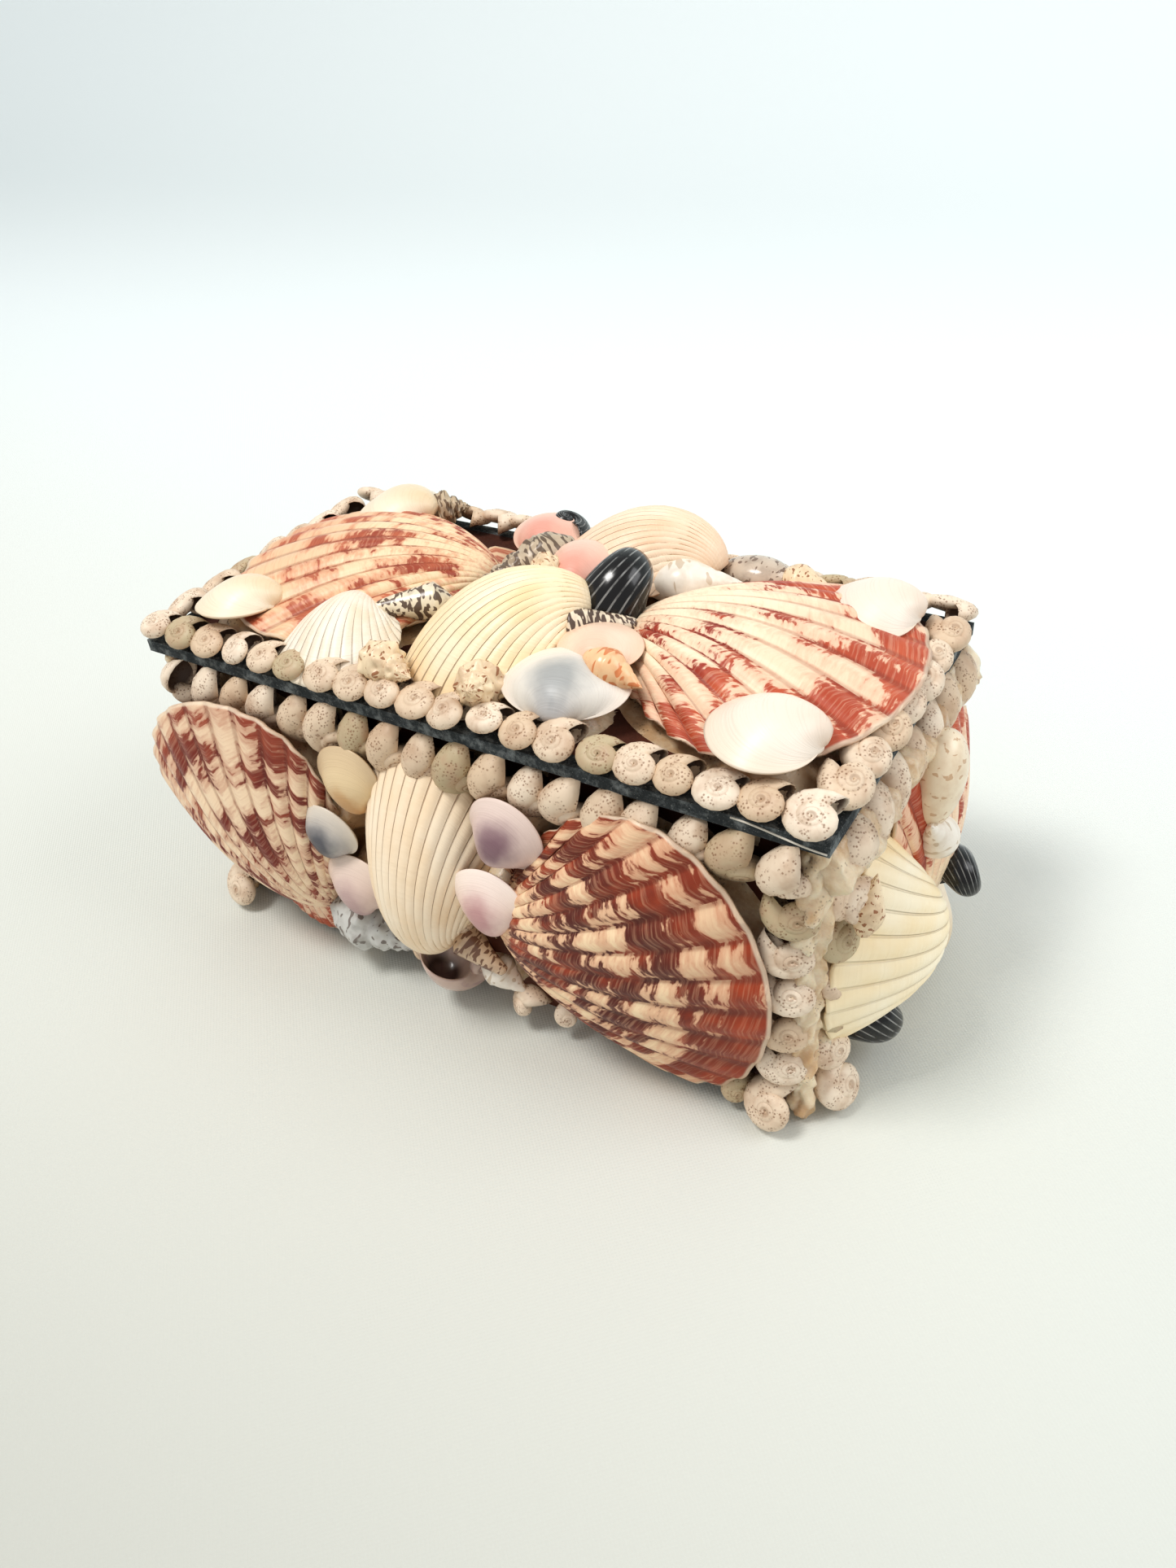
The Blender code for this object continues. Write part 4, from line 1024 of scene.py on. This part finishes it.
# %% [markdown]
# The pointed shells lie in the gaps between the fans, most of them on the lid. A row of the
# table is a name, its side, its spot, its heading, its length and width in mm, its envelope
# and its finish. Knobby shells share their whorls, and so do the smooth ones.

# %% Laying the pointed shells
STEEP = dict(ratio=0.5, bulge=0.09)
KNOBBY = dict(ratio=0.62, bulge=0.26, knobs=8, knob=0.17, rings=0.02)
PLAIN = dict(ratio=0.9, bulge=0.02, mouth=0.35)
AUGER = dict(ratio=0.76, bulge=0.2, knobs=11, knob=0.09, rings=0.02)


def lay_closed(name, material, grid, uv, ends, side, spot, heading, tilt=0):
    """Lay a grid that wraps round and ends in two points, in place of its node."""
    grid, ends = (laid(side, points, spot, heading, tilt) for points in (grid, ends))
    return piece(name + "_shell", [woven(grid, uv, True, ends[0], ends[1])], material,
                 standing_for(name))


POINTED_SHELLS = (
    ("lid_auger", LID, (-0.13, 0.16, 11), 238, (38, 15), auger_envelope, "auger", -8, AUGER),
    ("lid_cone_checked", LID, (-0.31, -0.30, 9), 38, (23, 11), cone_envelope, "checked", 0,
     PLAIN),
    ("lid_cone_zigzag", LID, (0.235, -0.23, 13), 210, (21, 11), cone_envelope, "zigzag", 0,
     PLAIN),
    ("lid_cone_orange", LID, (0.385, -0.56, 13), -8, (17, 10), whelk_envelope, "orange",
     -12, dict(ratio=0.6, bulge=0.1)),
    ("lid_conch", LID, (0.33, 0.50, 9), 25, (27, 15), whelk_envelope, "white", 0, STEEP),
    ("lid_whelk_left", LID, (-0.17, -0.87, 9), -14, (19, 12), whelk_envelope, "cream", 0,
     KNOBBY),
    ("lid_whelk_middle", LID, (0.09, -0.84, 9), -70, (17, 13), whelk_envelope, "cream", 25,
     KNOBBY),
    ("lid_whelk_back", LID, (0.58, 0.80, 7), 0, (16, 11), whelk_envelope, "cream", 0, STEEP),
    ("lid_whelk_rough", LID, (-0.59, 0.80, 9), 40, (14, 12), whelk_envelope, "rough", 0,
     KNOBBY),
    ("lid_whelk_small", LID, (-0.01, 0.16, 15), 70, (12, 10), whelk_envelope, "cream", 0,
     KNOBBY),
    ("front_whelk_grey", FRONT, (-0.36, -0.67, 8), -12, (33, 18), whelk_envelope, "grey", 0,
     dict(ratio=0.66, bulge=0.17, knobs=8, knob=0.13)),
    ("front_cone_brown", FRONT, (0.075, -0.41, 12), 150, (18, 10), cone_envelope, "brown",
     0, PLAIN),
    ("front_whelk_white", FRONT, (0.13, -0.62, 9), -30, (16, 10), whelk_envelope, "white",
     0, STEEP),
    ("right_whelk_small", RIGHT, (-0.80, 0.50, 11), 60, (15, 8), whelk_envelope, "cream", 0,
     STEEP),
    ("right_whelk", RIGHT, (0.11, 0.32, 14), 130, (17, 12), whelk_envelope, "white", 0,
     STEEP),
)
for name, side, spot, heading, (length, width), envelope, finish, tilt, shape in POINTED_SHELLS:
    grid, uv, ends = spindle(length * MM, width * MM, envelope, **shape)
    lay_closed(name, POINTED[finish], grid, uv, ends, side, spot, heading, tilt)
print(len(POINTED_SHELLS), "pointed shells laid")

# %% [markdown]
# Nerites are round black snails with a skin like glass; a moon shell is the same form in
# pale violet. Both are the coil again, wound fast so that the last turn is nearly all there
# is. Fine pale lines run along the tube, so the recipe draws them on U alone.

# %% Round glossy snails
NERITE = dict(around=40, steps=46, turns=2.6, growth=5.0, fall=0.95, fatness=1.0)


def striped(name, ground, line, lines, share, roughness, coat, deep):
    """A glossy snail with fine lines along its tube and painted shade in its mouth from V =
    -deep on.
    """
    m = Recipe(name, roughness=roughness, Coat_Weight=coat, Coat_Roughness=0.1)
    u, v = m.growth()
    wave = m.math("SINE", m.times(u, 2 * math.pi * lines))
    worn = m.step(m.noise(m.place(), 260.0, 3.0), 0.3, 0.6)
    mark = m.times(m.step(wave, 0.72, 0.95), worn)
    colour = m.mix(m.times(mark, share), ground, line)
    # Painted shade: the mouth is darkened to a near black brown.
    inside = m.step(v, -deep, -deep - 0.1)
    colour = m.mix(m.times(inside, 0.92), colour, linear(52, 26, 22))
    return m.finish(colour, wave, 0.05 * MM, 0.3)


def lay_coil(name, side, spot, size, spire, mouth_side, material, heading=90):
    """A fine coil in place of a round node. Size is (diameter, height) in mm."""
    grid, uv, first, last = coiled(size[0] * MM, size[1] * MM, spire, mouth_side, **NERITE)
    return lay_closed(name, material, grid, uv, np.stack([first, last]), side, spot, heading)


BLACK = striped("nerite_black", linear(8, 7, 9), linear(150, 150, 148), 20, 0.85, 0.22,
                0.25, 0.07)
MOON = striped("moon_violet", linear(206, 182, 170), linear(176, 146, 150), 5, 0.6, 0.25,
               0.3, 0.19)
lay_coil("lid_nerite_centre", LID, (0.25, 0.0, 13.5), (27, 23), (-0.75, 0.1, 0.55),
         (-0.4, -0.69, -0.42), BLACK)
lay_coil("lid_nerite_back", LID, (-0.13, 0.76, 8), (15.5, 13), (0.2, 0.3, 0.9), (1, 0, 0),
         BLACK, heading=60)
lay_coil("right_nerite_upper", RIGHT, (0.40, -0.14, 14), (19.5, 17), (0.5, 0.2, 0.8),
         (1, 0, 0), BLACK)
lay_coil("right_nerite_lower", RIGHT, (-0.47, -0.69, 9), (21, 17), (0.7, 0.5, 0.35),
         (0.3, 0.9, 0.2), BLACK)
lay_coil("front_moon_shell", FRONT, (-0.07, -0.72, 8.5), (21, 17), (0.75, -0.15, 0.3),
         (-1.0, 0.4, 0.6), MOON)
print("four nerites and a moon shell laid")

# %% [markdown]
# A cowrie hides its coil: it is an egg with a slit, and the slit is turned down. So the coil
# is left out here, and an egg's rings are drawn in along one line, with teeth across it.

# %% Cowries
SLIT_ANGLE = 1.5 * np.pi


def cowrie(length, width, height):
    """An egg with a toothed slit along its belly, long axis along Y: grid, UV, two ends.

    At share s of half a turn and angle b, radius = sin(s) (1 - 0.45 slit teeth) (1 - 0.1
    cos(s)), where the slit is a narrow bell round b = 3/2 pi and the teeth are a cosine.
    """
    share = np.linspace(0.03, 0.97, 40)[:, None] * np.pi
    angle = np.linspace(0, 2 * np.pi, 64, endpoint=False)[None, :]
    slit = np.exp(-((angle - SLIT_ANGLE) / 0.16) ** 2) * np.sin(share) ** 0.5
    teeth = 1 + 0.25 * np.cos(share * 30)
    around = np.sin(share) * (1 - 0.45 * slit * teeth) * (1 - 0.1 * np.cos(share))
    x = width / 2 * around * np.cos(angle)
    z = height / 2 * around * np.sin(angle)
    y = np.broadcast_to(-length / 2 * np.cos(share), x.shape)
    uv = np.stack(np.broadcast_arrays(np.linspace(0, 1, 65)[None, :], share / np.pi), 2)
    return np.stack([x, y, z], 2), uv, np.array([[0, -length / 2, 0], [0, length / 2, 0]])


GREY_COWRIE = spotted("cowrie_grey", linear(206, 190, 172), linear(120, 98, 84), 14, 16,
                      -0.06, 0.2)
lay_closed("lid_cowrie", GREY_COWRIE, *cowrie(21 * MM, 13 * MM, 11 * MM), LID,
           (0.44, 0.79, 7), 0)
CREAM_COWRIE = spotted("cowrie_cream", linear(240, 224, 198), linear(206, 172, 138), 16, 22,
                       -0.1, 0.3)
lay_closed("right_cowrie", CREAM_COWRIE, *cowrie(26 * MM, 16 * MM, 13 * MM), RIGHT,
           (0.20, 0.63, 12), 70)
print("two cowries laid")

# %% [markdown]
# The maker was generous with glue. It has set to a yellowish, half clear mass with milky
# patches and grit. A glass would be too clear for it, so it is a rough skin with a little
# light let in below. Its lumps are a few sines that cross at odd angles.

# %% Glue
def lumps(x, y, wavelength, rng):
    """Crossing sines, from -1 to 1 or so."""
    total = np.zeros(np.broadcast(x, y).shape)
    for _ in range(12):
        angle, phase = rng.uniform(0, 2 * np.pi, 2)
        wave = 2 * np.pi / (wavelength * rng.uniform(0.6, 1.8))
        total += np.sin(wave * (x * math.cos(angle) + y * math.sin(angle)) + phase)
    return total / 4


def glue_material():
    """Half clear, yellowish beige, wet-looking, with milky patches."""
    m = Recipe("glue_beige", roughness=0.3, Subsurface_Weight=0.35,
               Subsurface_Radius=(0.004, 0.003, 0.002), Subsurface_Scale=1.0,
               Coat_Weight=0.3, Coat_Roughness=0.2)
    place = m.place()
    cloud = m.step(m.noise(place, 90.0, 5.0, 0.6), 0.35, 0.65)
    colour = m.mix(cloud, linear(206, 170, 130), linear(240, 222, 194))
    stain = m.step(m.noise(place, 35.0, 2.0), 0.55, 0.75)
    colour = m.mix(m.times(stain, 0.5), colour, linear(160, 118, 82))
    dots = m.add("ShaderNodeTexVoronoi", Vector=place, Scale=1100.0)
    grit = m.times(m.step(dots, 0.4, 0.2), m.step(m.noise(place, 150.0), 0.5, 0.65))
    colour = m.mix(m.times(grit, 0.6), colour, linear(118, 82, 56))
    return m.finish(colour, m.noise(place, 420.0, 4.0, 0.6), 0.5 * MM, 0.8)


GLUE = glue_material()
print("glue finish:", len(GLUE.node_tree.nodes), "nodes")

# %% [markdown]
# Down each corner of the box, and along the rim of the right wall below the lid, the glue
# stands in thick beads. A bead is a tube whose radius is a middle value plus lumps, which
# depend on the angle round it and the way along it, so no two stretches are alike.

# %% Beads of glue
ROUND = 6 * MM


def rod(grid):
    """A tube closed at both ends in the middle of its rings. It has no pattern, so UV is 0."""
    rows, columns, _ = grid.shape
    return woven(grid, np.zeros((rows, columns + 1, 2)), True, grid[0].mean(0),
                 grid[-1].mean(0))


def corner_glue():
    """A lumpy bead down each corner of the box, from the lid to the foot, where it thins."""
    rng = np.random.default_rng(31)
    height = np.linspace(0.6 * MM, 2 * middle - 0.5 * MM, 90)[:, None]
    angle = np.linspace(0, 2 * np.pi, 28, endpoint=False)[None, :]
    beads = []
    for across in (BOX_LOW[0], BOX_HIGH[0]):
        for along in (BOX_LOW[1], BOX_HIGH[1]):
            rough = lumps(angle * ROUND, height, 16 * MM, rng)
            radius = (3.4 + 1.0 * rough + 0.7 * lumps(angle * ROUND, height, 5 * MM, rng)) * MM
            radius = radius * np.minimum(1, 0.5 + height / (6 * MM))
            x = across + 1.2 * MM * np.sign(across) + radius * np.cos(angle)
            y = along + 1.2 * MM * np.sign(along) + radius * np.sin(angle)
            beads.append(rod(np.stack(np.broadcast_arrays(x, y, height), 2)))
    return piece("glue_corners", beads, GLUE)


def rim_glue():
    """A lumpy roll over the snails under the lid, along the right wall's rim."""
    rng = np.random.default_rng(37)
    along = np.linspace(-1, 1, 120)[:, None] * (RIGHT.half[0] + 3 * MM)
    angle = np.linspace(0, 2 * np.pi, 30, endpoint=False)[None, :]
    rough = lumps(angle * ROUND, along, 17 * MM, rng)
    rough = rough + 0.4 * lumps(angle * ROUND, along, 5 * MM, rng)
    radius = (5.6 + 1.3 * rough) * MM
    x = BOX_HIGH[0] + 4.6 * MM + radius * np.cos(angle)
    z = BOX_HIGH[2] - 8.5 * MM + radius * 1.15 * np.sin(angle)
    grid = np.stack(np.broadcast_arrays(x, along, z), 2)
    return piece("glue_rim", [rod(grid[::-1])], GLUE)


corner_glue()
rim_glue()
print("four corner beads and one along the rim")

# %% [markdown]
# Between the shells the glue is a sheet: a height above its side at every point of a grid.
# There is a mound below each shell that was laid there, a thin skin elsewhere, and lumps all
# over. Below 0 the skin dips into the board, which leaves islands. The right wall has most.

# %% Sheets of glue
def glue(name, side, skin, rough, share, seed, step=1.3 * MM):
    """A sheet of glue on one side: height = max(skin + lumps, mounds), down to 0 at its rim.

    A mound is share times the lift of its shell, times exp(-(distance / reach)^4).
    """
    rng = np.random.default_rng(seed)
    half_x, half_y = side.half - 1.0 * MM
    x = np.linspace(-half_x, half_x, int(2 * half_x / step))[None, :]
    y = np.linspace(-half_y, half_y, int(2 * half_y / step))[:, None]
    uneven = lumps(x, y, 14 * MM, rng) + 0.5 * lumps(x, y, 5 * MM, rng)
    height = skin * MM + rough * MM * uneven
    for where, spot, reach in STUCK:
        if where is side:
            dx = x - spot[0] * side.half[0]
            dy = y - spot[1] * side.half[1]
            far = (dx * dx + dy * dy) / (reach * 0.88 * MM) ** 2
            height = np.maximum(height, share * spot[2] * MM * np.exp(-far * far))
    rim = np.minimum(np.minimum(x + half_x, half_x - x), np.minimum(y + half_y, half_y - y))
    height = np.minimum(height, rim * 2.5) - 0.25 * MM
    grid = side.to_world(np.stack(np.broadcast_arrays(x, y, height), 2))
    return piece(name, [woven(grid, np.stack(np.broadcast_arrays(x, y), 2))], GLUE)


glue("glue_right", RIGHT, 4.2, 2.1, 0.95, 5, 1.0 * MM)
glue("glue_front", FRONT, -0.5, 1.3, 0.85, 6)
glue("glue_back", BACK, -1.0, 1.0, 0.95, 7)
glue("glue_left", LEFT, -1.0, 1.0, 0.95, 8)
glue("glue_lid", LID, -1.4, 1.2, 0.9, 9)
print("five sheets of glue")

# %% [markdown]
# A loose whitish thread is caught on the front of the lid near its right end. It is stiff
# with glue, so it is a thin rigid tube round a curve, and rides on the box like the rest.

# %% Thread
def thread():
    """A tube 0.5 mm thick along the strip, round a curve that sags as a sine squared."""
    m = Recipe("thread_white", roughness=0.8)
    share = np.linspace(0, 1, 30)[:, None]
    angle = np.linspace(0, 2 * np.pi, 8, endpoint=False)[None, :]
    x = (80 + 22 * share) * MM + 0 * angle
    sag = np.sin(share * np.pi / 2) ** 2
    y = LID_LOW[1] - 0.1 * MM + 0.25 * MM * np.cos(angle) + 0 * share
    z = LID_HIGH[2] - (0.5 + 2.3 * sag) * MM + 0.25 * MM * np.sin(angle)
    twist = m.noise(m.place(), 2600.0, 2.0)
    colour = m.mix(twist, linear(206, 200, 188), linear(236, 232, 222))
    return piece("thread", [rod(np.stack([x, y, z], 2))], m.finish(colour, twist, 0.1 * MM))


loose = thread()
print("thread, mm:", [round(side / MM, 1) for side in loose.dimensions])

# %% [markdown]
# What is left of the boards shows between the shells: the lid's top is a dark reddish brown,
# and its edge is wrapped in a charcoal strip like felt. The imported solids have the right
# shape already and only get their finish. The strip and the board are one solid, so the
# recipe tells them apart by the way the surface faces and by the distance from the edge.

# %% Boards and strip
STRIP_ON_TOP = 4.0 * MM


def board_colour(m, place):
    """Dark reddish brown, patchy."""
    patches = m.step(m.noise(place, 55.0, 5.0), 0.3, 0.7)
    return m.mix(patches, linear(62, 30, 20), linear(104, 56, 36))


def board_material():
    """The bare board of the box."""
    m = Recipe("board_brown", roughness=0.6)
    place = m.place()
    return m.finish(board_colour(m, place), m.noise(place, 900.0, 3.0), 0.1 * MM, 0.5)


def strip_material():
    """Charcoal felt, mottled grey where it is worn, with the brown board on top."""
    m = Recipe("strip_charcoal", roughness=0.95)
    place = m.place()
    worn = m.noise(place, 240.0, 6.0, 0.7)
    fibres = m.noise(place, 1600.0, 3.0, 0.8)
    felt = m.mix(m.step(worn, 0.45, 0.7), linear(54, 60, 63), linear(132, 138, 139))
    felt = m.mix(m.step(fibres, 0.58, 0.72), felt, linear(166, 170, 167))
    top = m.step(m.split(m.add("ShaderNodeNewGeometry", output=1))[2], 0.6, 0.9)
    for along, edge in zip(m.split(place), LID_HIGH[:2]):
        inside = m.step(m.math("ABSOLUTE", along), edge - STRIP_ON_TOP,
                        edge - STRIP_ON_TOP - 0.6 * MM)
        top = m.times(top, inside)
    colour = m.mix(top, felt, board_colour(m, place))
    return m.finish(colour, m.math("ADD", worn, fibres), 0.35 * MM, 0.9)


def dress(name, material):
    """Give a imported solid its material."""
    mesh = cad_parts[name].data
    mesh.materials.clear()
    mesh.materials.append(material)


dress("box_carcass", board_material())
dress("lid_board", strip_material())
print("boards dressed")

# %% [markdown]
# The box stands on an off-white woven cloth in front of a pale wall. Two planes would meet
# in a hard line, so one sheet runs from in front of the camera, bends up and goes on as the
# wall. Its colour holds painted shade and painted light: it is darker near the camera and to
# the east, paler with distance, and its far end glows a little, a painted light like a lit
# wall.

# %% Cloth and wall
# Painted light: the strength of the glow at the far end of the cloth.
WALL_GLOW = 0.1
WEAVE = 5200.0


def cloth_material():
    """An off-white weave with painted shade near the camera and to the east, painted light far
    off.
    """
    m = Recipe("cloth_white", roughness=0.9, Emission_Strength=WALL_GLOW)
    x, y, _ = m.split(m.place())
    warp = m.math("SINE", m.times(x, WEAVE))
    weft = m.math("SINE", m.times(y, WEAVE))
    # Painted shade: the cloth is darker to the east and near the camera.
    centre = m.mix(m.step(x, 0.05, 0.5), linear(218, 220, 213), linear(200, 207, 204))
    colour = m.mix(m.step(y, -0.32, -0.05), linear(184, 185, 178), centre)
    # Painted light: the cloth is paler far off, and its far end glows.
    colour = m.mix(m.step(y, -0.15, 0.5), colour, linear(240, 247, 248))
    glow = m.mix(m.step(y, 0.7, 1.7), linear(0, 0, 0), linear(244, 255, 255))
    m.put(m.shader.inputs["Emission Color"], glow)
    return m.finish(colour, m.times(warp, weft), 0.1 * MM, 0.3)


def room():
    """The sheet: flat for its first half, then a quarter circle, then straight up."""
    x = np.linspace(-3, 3, 40)[None, :]
    s = np.linspace(0, 1, 90)[:, None]
    bend = np.clip((s - 0.5) / 0.25, 0, 1) * np.pi / 2
    y = np.where(s < 0.5, -1.5 + s * 5.0, 1.0 + 0.9 * np.sin(bend))
    z = np.where(s < 0.5, 0.0, 0.9 * (1 - np.cos(bend)) + np.clip(s - 0.75, 0, 1) * 12)
    grid = np.stack(np.broadcast_arrays(x, y, z), 2)
    points, faces, _ = woven(grid, grid[:, :, :2])
    mesh = bpy.data.meshes.new("cloth")
    mesh.from_pydata(points.tolist(), [], faces[0].tolist())
    mesh.shade_smooth()
    mesh.materials.append(CLOTH)
    item = bpy.data.objects.new("cloth", mesh)
    bpy.context.scene.collection.objects.link(item)
    return item


CLOTH = cloth_material()
print("threads of the cloth, mm apart:", round(2 * math.pi / WEAVE / MM, 2))

# %% [markdown]
# The photograph was taken in a soft, bright, nearly shadowless room. A window's light comes
# from the left, a weaker one fills from the right, and the world gives the rest. The camera
# was worked out from the corners of the box in the photograph.

# %% Light and camera
LOOK_AT = (0, 0, 0.05)
WORLD_STRENGTH = 0.57


def lamp(name, place, size, power, colour):
    """A square soft light that looks at the box."""
    data = bpy.data.lights.new(name, "AREA")
    data.size = size
    data.energy = power
    data.color = colour
    item = bpy.data.objects.new(name, data)
    item.location = place
    way = Vector(LOOK_AT) - Vector(place)
    item.rotation_euler = way.to_track_quat("-Z", "Y").to_euler()
    bpy.context.scene.collection.objects.link(item)
    return item


def camera():
    """The camera of the photograph."""
    data = bpy.data.cameras.new("camera")
    data.sensor_width = 36
    data.lens = 26.43
    data.clip_start = 0.01
    item = bpy.data.objects.new("camera", data)
    item.location = (0.162808, -0.223711, 0.251752)
    item.rotation_euler = (0.921807, 0.0741287, 0.543101)
    bpy.context.scene.collection.objects.link(item)
    bpy.context.scene.camera = item
    return item


def world_light():
    """An even, slightly warm white from all round."""
    world = bpy.data.worlds.new("room")
    world.use_nodes = True
    background = world.node_tree.nodes["Background"]
    background.inputs["Color"].default_value = linear(250, 250, 249)
    background.inputs["Strength"].default_value = WORLD_STRENGTH
    bpy.context.scene.world = world


world_light()
bpy.context.scene.view_settings.view_transform = "Standard"
bpy.context.scene.view_settings.look = "Medium High Contrast"
key = lamp("window", (-0.45, -0.55, 1.6), 0.45, 13, (1.0, 0.98, 0.95))
fill = lamp("fill", (1.2, 0.4, 1.2), 0.9, 7, (0.97, 0.98, 1.0))
room()
camera()
print("lights, W:", key.data.energy, "and", fill.data.energy)
